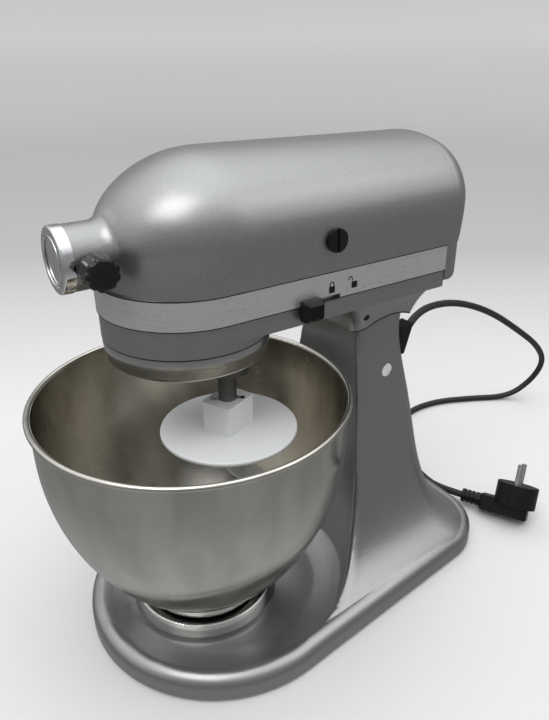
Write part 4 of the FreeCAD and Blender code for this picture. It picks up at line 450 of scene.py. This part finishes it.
def finishes():
    """Every finish by its name."""
    made = {}
    look = bpy.context.scene.mixer_finish
    bowl = middle_of("bowl_shell")
    hub = middle_of("hub_cover")
    made["silver_paint"] = silver_paint()
    made["satin_aluminium"] = drawn_metal("satin_aluminium", look.aluminium, 0.29, (0.02, 0.02, 1.0), 0.78)
    made["brushed_bowl"] = turned_metal("brushed_bowl", look.bowl, 0.21, bowl, 0.6, stain=0.8)
    made["polished_foot"] = turned_metal("polished_foot", (0.72, 0.71, 0.69), 0.10, bowl, 0.3)
    made["turned_drip_ring"] = turned_metal("turned_drip_ring", (0.50, 0.50, 0.49), 0.22, bowl, 0.6)
    made["chrome_cover"] = turned_metal("chrome_cover", (0.80, 0.80, 0.80), 0.07, hub, 0.0, "X")
    made["satin_steel"] = cast_metal("satin_steel", (0.52, 0.52, 0.51), 0.30)
    made["bright_steel"] = cast_metal("bright_steel", (0.66, 0.65, 0.63), 0.16, scale=500.0)
    made["polished_pin"] = cast_metal("polished_pin", (0.86, 0.86, 0.84), 0.2, 0.45)
    made["dark_steel"] = cast_metal("dark_steel", (0.21, 0.21, 0.205), 0.34)
    made["bronze"] = cast_metal("bronze", (0.50, 0.33, 0.15), 0.36)
    made["copper"] = cast_metal("copper", (0.62, 0.29, 0.17), 0.34)
    made["carbon"] = moulded("carbon", (0.03, 0.03, 0.03), 0.6, 1500.0)
    made["black_plastic"] = moulded("black_plastic", look.plastic, 0.34, sheen=0.25)
    made["gloss_plastic"] = moulded("gloss_plastic", look.plastic, 0.14, sheen=0.4)
    made["black_rubber"] = moulded("black_rubber", (0.018, 0.018, 0.018), 0.55, 700.0, 0.35)
    made["white_coating"] = white_coating()
    return made


FINISHES = {}


def finish_of(slot):
    """The finish of a name; all are made on first use."""
    if not FINISHES:
        FINISHES.update(finishes())
    return FINISHES[slot]


def body_of(node):
    """The body that a CAD node rides on."""
    for body, members in frame["record"]["behaviour"]["bodies"].items():
        if node in members:
            return body
    raise LookupError("no body holds " + node)


def coat(node, slot):
    """Gives a CAD node its finish."""
    materials = frame["nodes"][node].data.materials
    materials.clear()
    materials.append(finish_of(slot))


def settle(name, form, slot, body, smooth=None):
    """Makes a bmesh a piece: smooth between edges sharper than an angle, finished, and riding on its body."""
    for face in form.faces:
        face.smooth = True
    if smooth is not None:
        for edge in form.edges:
            edge.smooth = len(edge.link_faces) == 2 and edge.calc_face_angle(0.0) < math.radians(smooth)
    mesh = bpy.data.meshes.new(name)
    form.to_mesh(mesh)
    form.free()
    mesh.materials.append(finish_of(slot))
    piece = bpy.data.objects.new(name, mesh)
    bpy.context.scene.collection.objects.link(piece)
    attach(piece, body)
    return piece


def soften_dish(form):
    """Rounds the edge of the dish's floor and its lip, round the base and up both sides of the column."""
    lean = DISH_SIDE - DISH_RIM
    sweep = (DISH_TOP - DISH_BRIM) ** 2 / (2 * lean) + lean / 2

    def off_wall(vert):
        rise = max(0.0, DISH_TOP - vert.co.z)
        wall = DISH_SIDE - sweep + math.sqrt(max(0.0, sweep ** 2 - rise ** 2))
        return abs(math.hypot(vert.co.x - DISH_X, vert.co.y) - wall)

    def on_floor(vert):
        reach = math.hypot(vert.co.x - DISH_X, vert.co.y)
        return abs(reach - DISH_FLOOR) < LIP_SLACK and abs(vert.co.z - DISH_DEPTH) < LIP_SLACK

    def left_alone(vert):
        return vert.co.z < DISH_BRIM - BRIM_SLACK or vert.co.x > 0.0 and abs(vert.co.y) < COLUMN_MIDDLE

    def on_lip(edge):
        if len(edge.link_faces) != 2 or edge.calc_face_angle(0.0) < math.radians(LIP_ANGLE):
            return False
        if all(on_floor(vert) for vert in edge.verts):
            return True
        if any(left_alone(vert) for vert in edge.verts):
            return False
        return all(off_wall(vert) < LIP_SLACK for vert in edge.verts)

    quarters = (0.0, 0.25, 0.5, 0.75)
    ends = [edge.verts for edge in form.edges if on_lip(edge)]
    spots = [first.co.lerp(last.co, share) for first, last in ends for share in quarters]
    lip = KDTree(len(spots))
    for number, spot in enumerate(spots):
        lip.insert(spot, number)
    lip.balance()

    def near(edge):
        first, last = edge.verts
        return any(lip.find(first.co.lerp(last.co, share))[2] < LIP_NEAR for share in quarters + (1.0,))

    for _ in range(LIP_CUTS):
        long = [edge for edge in form.edges if edge.calc_length() > LIP_EDGE and near(edge)]
        bmesh.ops.subdivide_edges(form, edges=long, cuts=1)
        bmesh.ops.triangulate(form, faces=[face for face in form.faces if len(face.verts) > 3])
    for turn in range(LIP_TURNS):
        reach = LIP_REACH - LIP_STEP * turn
        close = [vert for vert in form.verts if lip.find(vert.co)[2] < reach]
        bmesh.ops.smooth_vert(form, verts=close, factor=0.5, use_axis_x=True, use_axis_y=True,
                              use_axis_z=True)


def dress(node, slot, smooth=32.0, edge=None, shape=None):
    """A merged, smooth copy of a CAD node with its sharp edges broken, which stands for the node."""
    form = bmesh.new()
    form.from_mesh(frame["nodes"][node].data)
    bmesh.ops.remove_doubles(form, verts=form.verts, dist=MERGE)
    bmesh.ops.dissolve_degenerate(form, edges=form.edges, dist=SHORTEST)
    if shape:
        shape(form)
    piece = settle(node + "_dressed", form, slot, body_of(node), smooth)
    if edge is None:
        edge = bpy.context.scene.mixer_trim.edge
    if edge:
        rounding = piece.modifiers.new("broken_edge", "BEVEL")
        rounding.width = edge
        rounding.segments = 2
        rounding.limit_method = "ANGLE"
        rounding.angle_limit = math.radians(40.0)
        rounding.harden_normals = True
    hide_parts(node)
    return piece


def dome_pin(form):
    """Domes the ends of the hinge pin and sinks their rims into the column."""
    reach = max(vert.co.y for vert in form.verts)
    caps = [face for face in form.faces if all(abs(vert.co.y) > reach - 0.0001 for vert in face.verts)]
    rim = {vert for face in caps for vert in face.verts}
    bmesh.ops.inset_region(form, faces=caps, thickness=PIN_RIM, use_boundary=True, use_even_offset=True)
    for vert in rim:
        vert.co.y -= math.copysign(PIN_SINK, vert.co.y)
    bmesh.ops.inset_region(form, faces=caps, thickness=PIN_DOME, depth=PIN_CROWN, use_boundary=True,
                           use_even_offset=True)


def taper_relief(form):
    """Draws the rear of the relief block to a point at its foot and raises its shoulder."""
    low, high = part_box("cord_relief")
    for vert in form.verts:
        if vert.co.x < RELIEF_FRONT or abs(vert.co.y - RELIEF_Y) > RELIEF_HALF:
            continue
        if vert.co.z < low[2] + 0.0005:
            vert.co.x -= RELIEF_DRAW
        if vert.co.z > high[2] - 0.0005:
            vert.co.z += RELIEF_RISE


class MIXER_OT_stand(Operator):
    """Finishes the cast stand, its feet, clamp plate and hinge pin"""

    bl_idname = "mixer.stand"
    bl_label = "Stand"

    def execute(self, context):
        dress("base_casting", "silver_paint", edge=0.0, shape=soften_dish)
        dress("base_feet", "black_rubber")
        self.clamp()
        dress("clamp_plate_screws", "bright_steel")
        dress("hinge_pin", "polished_pin", smooth=50.0, edge=0.0, shape=dome_pin)
        return {"FINISHED"}

    def clamp(self):
        """Clamp plate made dark as painted shade of the bowl above it; its upright rim is polished."""
        # The dark steel finish on the plate paints the shade that the bowl casts on it
        plate = dress("bowl_clamp_plate", "dark_steel")
        plate.data.materials.append(finish_of("polished_foot"))
        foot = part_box("bowl_clamp_plate")[0][2]
        middle = middle_of("bowl_clamp_plate")[0]
        for face in plate.data.polygons:
            reach = math.hypot(face.center[0] - middle, face.center[1])
            if reach > CLAMP_RIM and face.center[2] > foot + CLAMP_LIFT:
                face.material_index = 1


class MIXER_OT_bowl(Operator):
    """Finishes the brushed bowl and its polished foot ring"""

    bl_idname = "mixer.bowl"
    bl_label = "Bowl"

    def execute(self, context):
        dress("bowl_shell", "brushed_bowl", smooth=60.0, edge=0.0)
        dress("bowl_foot_ring", "polished_foot")
        return {"FINISHED"}


def verts_of(parts):
    """The vertices among the parts that an operator hands back."""
    return [part for part in parts if isinstance(part, bmesh.types.BMVert)]


def thicken(form, thickness):
    """Gives a sheet its thickness, with its faces turned outwards."""
    bmesh.ops.recalc_face_normals(form, faces=form.faces)
    bmesh.ops.solidify(form, geom=form.faces, thickness=thickness)
    bmesh.ops.recalc_face_normals(form, faces=form.faces)


def painted_band_shadow(name, low, high):
    """A painted shadow line along the band's edge, from low to high: a black strip for the shade in the gap.
    """
    form = bmesh.new()
    reach = BAND_HALF + LINE_PROUD
    start = form.verts.new((BOWL_X, reach, low))
    turned = bmesh.ops.spin(form, geom=[start], cent=(BOWL_X, 0.0, low), axis=(0.0, 0.0, 1.0), angle=math.pi,
                            steps=48)
    ends = [start] + verts_of(turned["geom_last"])
    tails = bmesh.ops.extrude_vert_indiv(form, verts=ends)["verts"]
    for tail in tails:
        tail.co.x = BAND_REAR
    wall = bmesh.ops.extrude_edge_only(form, edges=form.edges)
    bmesh.ops.translate(form, vec=(0.0, 0.0, high - low), verts=verts_of(wall["geom"]))
    thicken(form, LINE_THICK)
    # The black rubber finish paints the shade in the gap
    settle(name, form, "black_rubber", "head", smooth=30.0)


def painted_drip_shadow():
    """A painted shadow line round the top of the drip ring: a black strip for the shade in the gap under the
    gearcase.
    """
    low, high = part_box("drip_ring")
    form = bmesh.new()
    top = form.verts.new((BOWL_X, (high[1] - low[1]) / 2 + LINE_PROUD, high[2] + DRIP_ABOVE))
    foot = form.verts.new((BOWL_X, top.co.y, high[2] - DRIP_BELOW))
    edge = form.edges.new((top, foot))
    bmesh.ops.spin(form, geom=[top, foot, edge], cent=(BOWL_X, 0.0, 0.0), axis=(0.0, 0.0, 1.0),
                   angle=math.tau, steps=96, use_merge=True)
    thicken(form, LINE_THICK)
    # The black rubber finish paints the shade in the gap
    settle("drip_ring_shadow_line", form, "black_rubber", body_of("drip_ring"), smooth=30.0)


def painted_hinge_shadow():
    """A painted shadow line in the gap between the head's neck and the column, along the neck's lower edge.
    """
    source = bmesh.new()
    source.from_mesh(frame["nodes"]["lower_gearcase"].data)
    bmesh.ops.remove_doubles(source, verts=source.verts, dist=MERGE)
    form = bmesh.new()
    made = {}

    def pair(vert):
        if vert.index not in made:
            spoke = Vector((vert.co.x - HINGE_X, 0.0, vert.co.z - HINGE_Z))
            inner = vert.co - spoke.normalized() * HINGE_SHADOW_DEPTH
            made[vert.index] = (form.verts.new(vert.co), form.verts.new(inner))
        return made[vert.index]

    source.verts.index_update()
    for edge in source.edges:
        reach = [math.hypot(vert.co.x - HINGE_X, vert.co.z - HINGE_Z) for vert in edge.verts]
        outer = all(abs(vert.co.y) > NECK_SLOT or vert.co.x < NECK_FRONT for vert in edge.verts)
        close = max(abs(distance - SEAM_RADIUS) for distance in reach) < SEAM_SLACK
        if outer and close and edge.calc_face_angle(0.0) > SEAM_ANGLE:
            (first, first_low), (last, last_low) = (pair(vert) for vert in edge.verts)
            form.faces.new((first, last, last_low, first_low))
    source.free()
    # A thin black strip that paints the shade in the gap
    thicken(form, HINGE_SHADOW_THICK)
    settle("painted_hinge_shadow_line", form, "black_rubber", "head", smooth=40.0)


def padlock(name, place, lift=0.0, shift=0.0):
    """A small padlock mark at a place along the band, its shackle raised by lift and moved by shift."""
    width = bpy.context.scene.mixer_trim.icon
    face = -BAND_HALF - LINE_PROUD
    form = bmesh.new()
    made = bmesh.ops.create_grid(form, x_segments=1, y_segments=1, size=0.5)["verts"]
    bmesh.ops.scale(form, vec=(width, width * LOCK_TALL, 1.0), verts=made)
    low = form.verts.new((width * SHACKLE_INNER + shift, width * SHACKLE_START + lift, 0.0))
    high = form.verts.new((width * SHACKLE_OUTER + shift, width * SHACKLE_START + lift, 0.0))
    run = [form.verts.new((vert.co.x, vert.co.y + width * SHACKLE_LEG, 0.0)) for vert in (low, high)]
    form.faces.new((low, high, run[1], run[0]))
    edge = form.edges.get(run)
    turned = bmesh.ops.spin(form, geom=[edge] + run, cent=(shift, run[0].co.y, 0.0), axis=(0.0, 0.0, 1.0),
                            angle=math.pi, steps=14)
    last = [part for part in turned["geom_last"] if isinstance(part, bmesh.types.BMEdge)]
    leg = bmesh.ops.extrude_edge_only(form, edges=last)
    drop = width * (SHACKLE_LEG if lift == 0.0 else SHACKLE_SHORT)
    bmesh.ops.translate(form, vec=(0.0, -drop, 0.0), verts=verts_of(leg["geom"]))
    raised = bmesh.ops.extrude_face_region(form, geom=form.faces)
    bmesh.ops.translate(form, vec=(0.0, 0.0, MARK_THICK), verts=verts_of(raised["geom"]))
    bmesh.ops.recalc_face_normals(form, faces=form.faces)
    upright = Matrix.Rotation(math.pi / 2, 3, "X")
    bmesh.ops.rotate(form, cent=(0.0, 0.0, 0.0), matrix=upright, verts=form.verts)
    bmesh.ops.translate(form, vec=(place, face, MARK_HEIGHT), verts=form.verts)
    settle(name, form, "black_plastic", "head", smooth=30.0)


class MIXER_OT_head(Operator):
    """Finishes the head's painted shells and trim, and adds painted shadow lines in its gaps"""

    bl_idname = "mixer.head"
    bl_label = "Head"

    def execute(self, context):
        dress("motor_housing", "silver_paint")
        dress("rear_end_cover", "silver_paint")
        dress("lower_gearcase", "silver_paint")
        dress("trim_band", "satin_aluminium")
        dress("brush_caps", "black_plastic")
        dress("end_cover_screw", "bright_steel")
        dress("neck_screw", "dark_steel")
        # Painted shadow lines in the gaps at the band's top and bottom edges
        painted_band_shadow("painted_band_shadow_top", BAND_TOP - BAND_SHADOW_TOP, BAND_TOP)
        painted_band_shadow("painted_band_shadow_bottom", BAND_BOTTOM, BAND_BOTTOM + BAND_SHADOW_BOTTOM)
        # Painted shadow line in the gap under the neck
        painted_hinge_shadow()
        padlock("lock_mark_closed", MARK_CLOSED_X)
        padlock("lock_mark_open", MARK_OPEN_X, SHACKLE_LIFT, SHACKLE_SHIFT)
        return {"FINISHED"}


def flute_knob(form):
    """Draws flutes into the grip of the attachment knob."""
    low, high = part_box("attachment_knob")
    middle = middle_of("attachment_knob")
    grip = (high[0] - low[0]) / 2
    for vert in form.verts:
        turn = math.atan2(vert.co.z - middle[2], vert.co.x - middle[0])
        reach = math.hypot(vert.co.z - middle[2], vert.co.x - middle[0])
        if reach > grip * FLUTE_START:
            share = 1.0 - FLUTE_DEPTH * (0.5 + 0.5 * math.cos(FLUTES * turn)) ** 2
            vert.co.x = middle[0] + (vert.co.x - middle[0]) * share
            vert.co.z = middle[2] + (vert.co.z - middle[2]) * share


def cover_ring():
    """A plain raised ring on the hub cover's face."""
    low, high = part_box("hub_cover")
    height = middle_of("hub_cover")[2]
    form = bmesh.new()
    made = bmesh.ops.create_circle(form, segments=12, radius=RING_THICK)["verts"]
    bmesh.ops.translate(form, vec=(low[0], (high[1] - low[1]) * RING_SHARE, height), verts=made)
    bmesh.ops.spin(form, geom=form.verts[:] + form.edges[:], cent=(0.0, 0.0, height), axis=(1.0, 0.0, 0.0),
                   angle=math.tau, steps=72, use_merge=True)
    bmesh.ops.remove_doubles(form, verts=form.verts, dist=0.00001)
    bmesh.ops.recalc_face_normals(form, faces=form.faces)
    settle("hub_cover_ring", form, "chrome_cover", "hub_lid")


class MIXER_OT_hub(Operator):
    """Finishes the attachment hub's cover and knob"""

    bl_idname = "mixer.hub"
    bl_label = "Attachment hub"

    def execute(self, context):
        dress("hub_cover", "chrome_cover")
        cover_ring()
        dress("attachment_knob", "gloss_plastic", shape=flute_knob)
        return {"FINISHED"}


def knob_ribs(node, body, face, out):
    """Upright ribs on the outer face of a lever's knob; out is the direction that the face looks in."""
    low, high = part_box(node)
    pitch = (high[0] - low[0] - 2 * RIB_MARGIN) / RIBS
    for number in range(RIBS):
        form = bmesh.new()
        made = bmesh.ops.create_cube(form, size=1.0)["verts"]
        bmesh.ops.scale(form, vec=(pitch * RIB_WIDTH, RIB_DEPTH, high[2] - low[2] - RIB_SPARE), verts=made)
        along = low[0] + RIB_MARGIN + pitch * (number + 0.5)
        middle = (along, face - out * RIB_SUNK, (low[2] + high[2]) / 2)
        bmesh.ops.translate(form, vec=middle, verts=made)
        bmesh.ops.bevel(form, geom=form.edges[:], offset=RIB_ROUND, offset_type="OFFSET", affect="EDGES",
                        segments=2, profile=0.5, material=-1)
        settle("%s_rib_%d" % (node, number + 1), form, "black_plastic", body, smooth=35.0)


class MIXER_OT_levers(Operator):
    """Finishes the lock and speed levers"""

    bl_idname = "mixer.levers"
    bl_label = "Levers"

    def execute(self, context):
        dress("lock_knob", "black_plastic", edge=0.0012)
        dress("speed_knob", "black_plastic", edge=0.0012)
        knob_ribs("lock_knob", "lock_lever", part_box("lock_knob")[0][1], -1)
        knob_ribs("speed_knob", "speed_lever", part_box("speed_knob")[1][1], 1)
        dress("lock_bar", "satin_steel")
        dress("speed_rod", "satin_steel")
        return {"FINISHED"}


def turn_collar(form):
    """Turns the outside of the hook's collar, makes it slimmer and lower, and sharpens its corners."""
    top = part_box("dough_hook")[1][2]

    def at(part, height):
        return all(abs(vert.co.z - height) < LEVEL for vert in part.verts)

    flats = [face for face in form.faces if at(face, HOOK_FOOT) or at(face, top)]
    bmesh.ops.delete(form, geom=flats, context="FACES")
    turn = Matrix.Rotation(math.radians(COLLAR_TURN), 3, "Z")
    for vert in form.verts:
        spot = Vector((vert.co.x - HOOK_X, vert.co.y - HOOK_Y, 0.0))
        if vert.co.z < HOOK_FOOT - LEVEL or not COLLAR_INNER < spot.length < COLLAR_OUTER:
            continue
        corner = Vector((max(0.0, abs(spot.x) - COLLAR_FLAT[0]), max(0.0, abs(spot.y) - COLLAR_FLAT[1]), 0.0))
        if corner.x > 0.0 and corner.y > 0.0:
            spot.x = math.copysign(COLLAR_HALF[0] + corner.x * COLLAR_SHARP, spot.x)
            spot.y = math.copysign(COLLAR_HALF[1] + corner.y * COLLAR_SHARP, spot.y)
        spot = turn @ spot * COLLAR_SLIM
        vert.co.x = HOOK_X + spot.x
        vert.co.y = HOOK_Y + spot.y
    for vert in form.verts:
        if vert.co.z > top - LEVEL:
            vert.co.z -= COLLAR_DROP
    for height in (HOOK_FOOT, top - COLLAR_DROP):
        rims = [edge for edge in form.edges if len(edge.link_faces) == 1 and at(edge, height)]
        bmesh.ops.triangle_fill(form, use_beauty=True, use_dissolve=False, edges=rims,
                                normal=(0.0, 0.0, 1.0))
    bmesh.ops.recalc_face_normals(form, faces=form.faces)


class MIXER_OT_planetary(Operator):
    """Finishes the planetary, its shaft and the dough hook"""

    bl_idname = "mixer.planetary"
    bl_label = "Planetary and hook"

    def execute(self, context):
        dress("drip_ring", "turned_drip_ring")
        # Painted shadow line in the gap between the gearcase and the drip ring
        painted_drip_shadow()
        dress("planetary_carrier", "dark_steel")
        dress("beater_shaft", "dark_steel")
        dress("cross_pin", "dark_steel")
        dress("dough_hook", "white_coating", edge=0.0008, shape=turn_collar)
        return {"FINISHED"}


DRIVE_FINISHES = {
    "bronze": ("motor_bushes", "worm_wheel", "centre_bush"),
    "copper": ("commutator",),
    "carbon": ("carbon_brushes",),
    "black_plastic": ("cooling_fan", "brush_holders"),
    "bright_steel": ("armature_shaft", "transfer_shaft", "centre_shaft"),
    "dark_steel": ("field_stator", "armature_core", "control_plate", "ring_gear", "beater_pinion",
                   "centre_gear", "transfer_pinion", "motor_worm", "centre_bevel", "hub_bevel",
                   "hub_drive_shaft", "front_bracket", "rear_bracket"),
}


class MIXER_OT_drive(Operator):
    """Finishes the motor and the gears inside the head"""

    bl_idname = "mixer.drive"
    bl_label = "Motor and gears"

    def execute(self, context):
        for slot, nodes in DRIVE_FINISHES.items():
            for node in nodes:
                coat(node, slot)
        return {"FINISHED"}


CORD_ROUTE = [
    (0.11533, -0.01627, 0.193), (0.1412, 0.0025, 0.193), (0.188, 0.026, 0.189), (0.241, 0.036, 0.178),
    (0.297, 0.039, 0.154), (0.349, 0.040, 0.121), (0.397, 0.042, 0.088), (0.428, 0.049, 0.056),
    (0.428, 0.060, 0.026), (0.404, 0.073, 0.0033), (0.362, 0.097, 0.0033), (0.318, 0.117, 0.0033),
    (0.272, 0.118, 0.0033), (0.232, 0.094, 0.0033), (0.205, 0.057, 0.0033), (0.193, 0.014, 0.0033),
    (0.1873, -0.0124, 0.0082), (0.1969, -0.0344, 0.0093),
]


class MIXER_OT_cord(Operator):
    """Lays the power cord from the relief to the plug"""

    bl_idname = "mixer.cord"
    bl_label = "Power cord"

    def execute(self, context):
        dress("cord_relief", "black_plastic", edge=0.0015, shape=taper_relief)
        plug = dress("plug_body", "black_plastic")
        pins = dress("plug_pins", "bright_steel")
        line = bpy.data.curves.new("power_cord_line", "CURVE")
        line.dimensions = "3D"
        spline = line.splines.new("NURBS")
        spline.points.add(len(CORD_ROUTE) - 1)
        for point, spot in zip(spline.points, CORD_ROUTE):
            point.co = spot + (1.0,)
        spline.order_u = 3
        spline.use_endpoint_u = True
        spline.resolution_u = 12
        line.bevel_depth = 0.0033
        line.bevel_resolution = 5
        line.use_fill_caps = True
        line.materials.append(finish_of("black_rubber"))
        cord = bpy.data.objects.new("power_cord_line", line)
        context.scene.collection.objects.link(cord)
        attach(cord, "stand")
        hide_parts("power_cord")
        return {"FINISHED"}


def soft_light(name, spot, aim, size, power):
    """A square soft light that faces a point."""
    lamp = bpy.data.lights.new(name, "AREA")
    lamp.shape = "SQUARE"
    lamp.size = size
    lamp.energy = power
    light = bpy.data.objects.new(name, lamp)
    light.location = spot
    light.rotation_mode = "QUATERNION"
    light.rotation_quaternion = (Vector(aim) - Vector(spot)).to_track_quat("-Z", "Y")
    bpy.context.scene.collection.objects.link(light)


class MIXER_OT_studio(Operator):
    """Sets the pale floor, the soft lights and the camera"""

    bl_idname = "mixer.studio"
    bl_label = "Studio"

    def execute(self, context):
        self.floor(context)
        self.room(context)
        power = context.scene.mixer_studio.key
        soft_light("key_light", (-0.9, -0.5, 1.9), (0.0, 0.0, 0.2), 1.1, power)
        soft_light("fill_light", (1.2, -1.1, 1.3), (0.0, 0.0, 0.15), 1.2, power * FILL_SHARE)
        self.camera(context)
        context.scene.view_settings.view_transform = "Standard"
        return {"FINISHED"}

    def floor(self, context):
        """A round floor whose edge rises like a studio sweep; its colour carries painted shade, darker
        farther behind the mixer and lighter again up the sweep.
        """
        form = bmesh.new()
        run = [form.verts.new((reach, 0.0, height)) for reach, height in FLOOR_RUN]
        edges = [form.edges.new(pair) for pair in zip(run, run[1:])]
        bmesh.ops.spin(form, geom=run + edges, cent=(0.0, 0.0, 0.0), axis=(0.0, 0.0, 1.0), angle=math.tau,
                       steps=64, use_merge=True)
        bmesh.ops.remove_doubles(form, verts=form.verts, dist=0.0001)
        bmesh.ops.recalc_face_normals(form, faces=form.faces)
        for face in form.faces:
            face.smooth = True
        mesh = bpy.data.meshes.new("studio_floor")
        form.to_mesh(mesh)
        form.free()
        finish = Finish("studio_floor")
        shade = context.scene.mixer_studio.floor
        cloud = finish.noise(finish.place(), 3.0, 3.0)
        east, north, up = finish.axes(finish.place())
        # Painted shade and light: the floor darkens away from the camera and lightens again up its rising
        # edge, standing for how the light falls off
        painted_far_shade = finish.range(HEADING_X * east + HEADING_Y * north, 0.25, 0.95, 0.0, 1.0)
        wall = finish.range(up, 0.02, 0.5, 0.0, 1.0)
        tone = painted_far_shade - 1.2 * wall + 0.05 * cloud
        mesh.materials.append(finish.shade({
            "Base Color": finish.mix(tone, opaque(shade), opaque(shade, 0.63)),
            "Roughness": 0.55,
            "Specular IOR Level": 0.3,
        }))
        floor = bpy.data.objects.new("studio_floor", mesh)
        context.scene.collection.objects.link(floor)
        floor.visible_glossy = False

    def room(self, context):
        """Soft light from the ceiling and from the left; the rest of the room is dim."""
        world = bpy.data.worlds.new("studio_room")
        context.scene.world = world
        world.use_nodes = True
        room = Nodes(world.node_tree)
        east, north, up = room.axes(room.add("ShaderNodeTexCoord"))
        behind = HEADING_X * east + HEADING_Y * north
        right = HEADING_Y * east - HEADING_X * north
        height = room.range(up, -0.3, 0.7, 0.23, 0.42) + room.range(up, -0.4, -1.0, 0.0, 0.28)
        slope = room.range(behind + 0.6 * right, -0.6, 0.6, 0.65, 1.1)
        ceiling = room.range(up, 0.45, 0.95, 0.0, 1.0) * slope
        window = room.range(right, -0.45, -0.85, 0.0, 1.0) * room.range(up, -0.05, 0.25, 0.0, 1.0)
        glow = context.scene.mixer_studio.sky * (height + 1.75 * ceiling + 0.6 * window)
        light = room.add("ShaderNodeBackground", None, {"Color": (0.96, 0.98, 1.0, 1.0), "Strength": glow})
        room.add("ShaderNodeOutputWorld", None, {0: light})

    def camera(self, context):
        """Camera at the photograph's place, aim and lens."""
        yaw, pitch, roll = (math.radians(angle) for angle in CAMERA_TURN)
        ahead = Vector((math.cos(pitch) * math.cos(yaw), math.cos(pitch) * math.sin(yaw), math.sin(pitch)))
        flat = Vector((math.sin(yaw), -math.cos(yaw), 0.0))
        rise = flat.cross(ahead)
        right = math.cos(roll) * flat + math.sin(roll) * rise
        up = right.cross(ahead)
        turn = Matrix((right, up, -ahead)).transposed().to_4x4()
        lens = bpy.data.cameras.new("photo_camera")
        lens.lens = CAMERA_LENS
        lens.sensor_width = 36.0
        lens.sensor_fit = "AUTO"
        lens.clip_start = 0.01
        camera = bpy.data.objects.new("photo_camera", lens)
        camera.matrix_world = Matrix.Translation(CAMERA_PLACE) @ turn
        context.scene.collection.objects.link(camera)
        context.scene.camera = camera


class MIXER_PT_looks(Panel):
    """The mixer's settings and steps"""

    bl_label = "Mixer looks"
    bl_space_type = "VIEW_3D"
    bl_region_type = "UI"
    bl_category = "Mixer"

    def draw(self, context):
        for group in (context.scene.mixer_finish, context.scene.mixer_trim, context.scene.mixer_studio):
            box = self.layout.box()
            for name in group.__annotations__:
                box.prop(group, name)
        column = self.layout.column(align=True)
        for step in STEPS:
            column.operator(step.bl_idname)


STEPS = (MIXER_OT_stand, MIXER_OT_bowl, MIXER_OT_head, MIXER_OT_hub, MIXER_OT_levers, MIXER_OT_planetary,
         MIXER_OT_cord, MIXER_OT_drive, MIXER_OT_studio)
CLASSES = (FinishSettings, TrimSettings, StudioSettings) + STEPS + (MIXER_PT_looks,)


def register():
    """Adds the classes and the scene's settings."""
    for made in CLASSES:
        bpy.utils.register_class(made)
    bpy.types.Scene.mixer_finish = PointerProperty(type=FinishSettings)
    bpy.types.Scene.mixer_trim = PointerProperty(type=TrimSettings)
    bpy.types.Scene.mixer_studio = PointerProperty(type=StudioSettings)


def unregister():
    """Takes the settings and the classes away again."""
    del bpy.types.Scene.mixer_studio
    del bpy.types.Scene.mixer_trim
    del bpy.types.Scene.mixer_finish
    for made in reversed(CLASSES):
        bpy.utils.unregister_class(made)


def main():
    """Dresses the mixer."""
    register()
    bpy.ops.mixer.stand()
    bpy.ops.mixer.bowl()
    bpy.ops.mixer.head()
    bpy.ops.mixer.hub()
    bpy.ops.mixer.levers()
    bpy.ops.mixer.planetary()
    bpy.ops.mixer.cord()
    bpy.ops.mixer.drive()
    bpy.ops.mixer.studio()


if __name__ == "__main__":
    main()
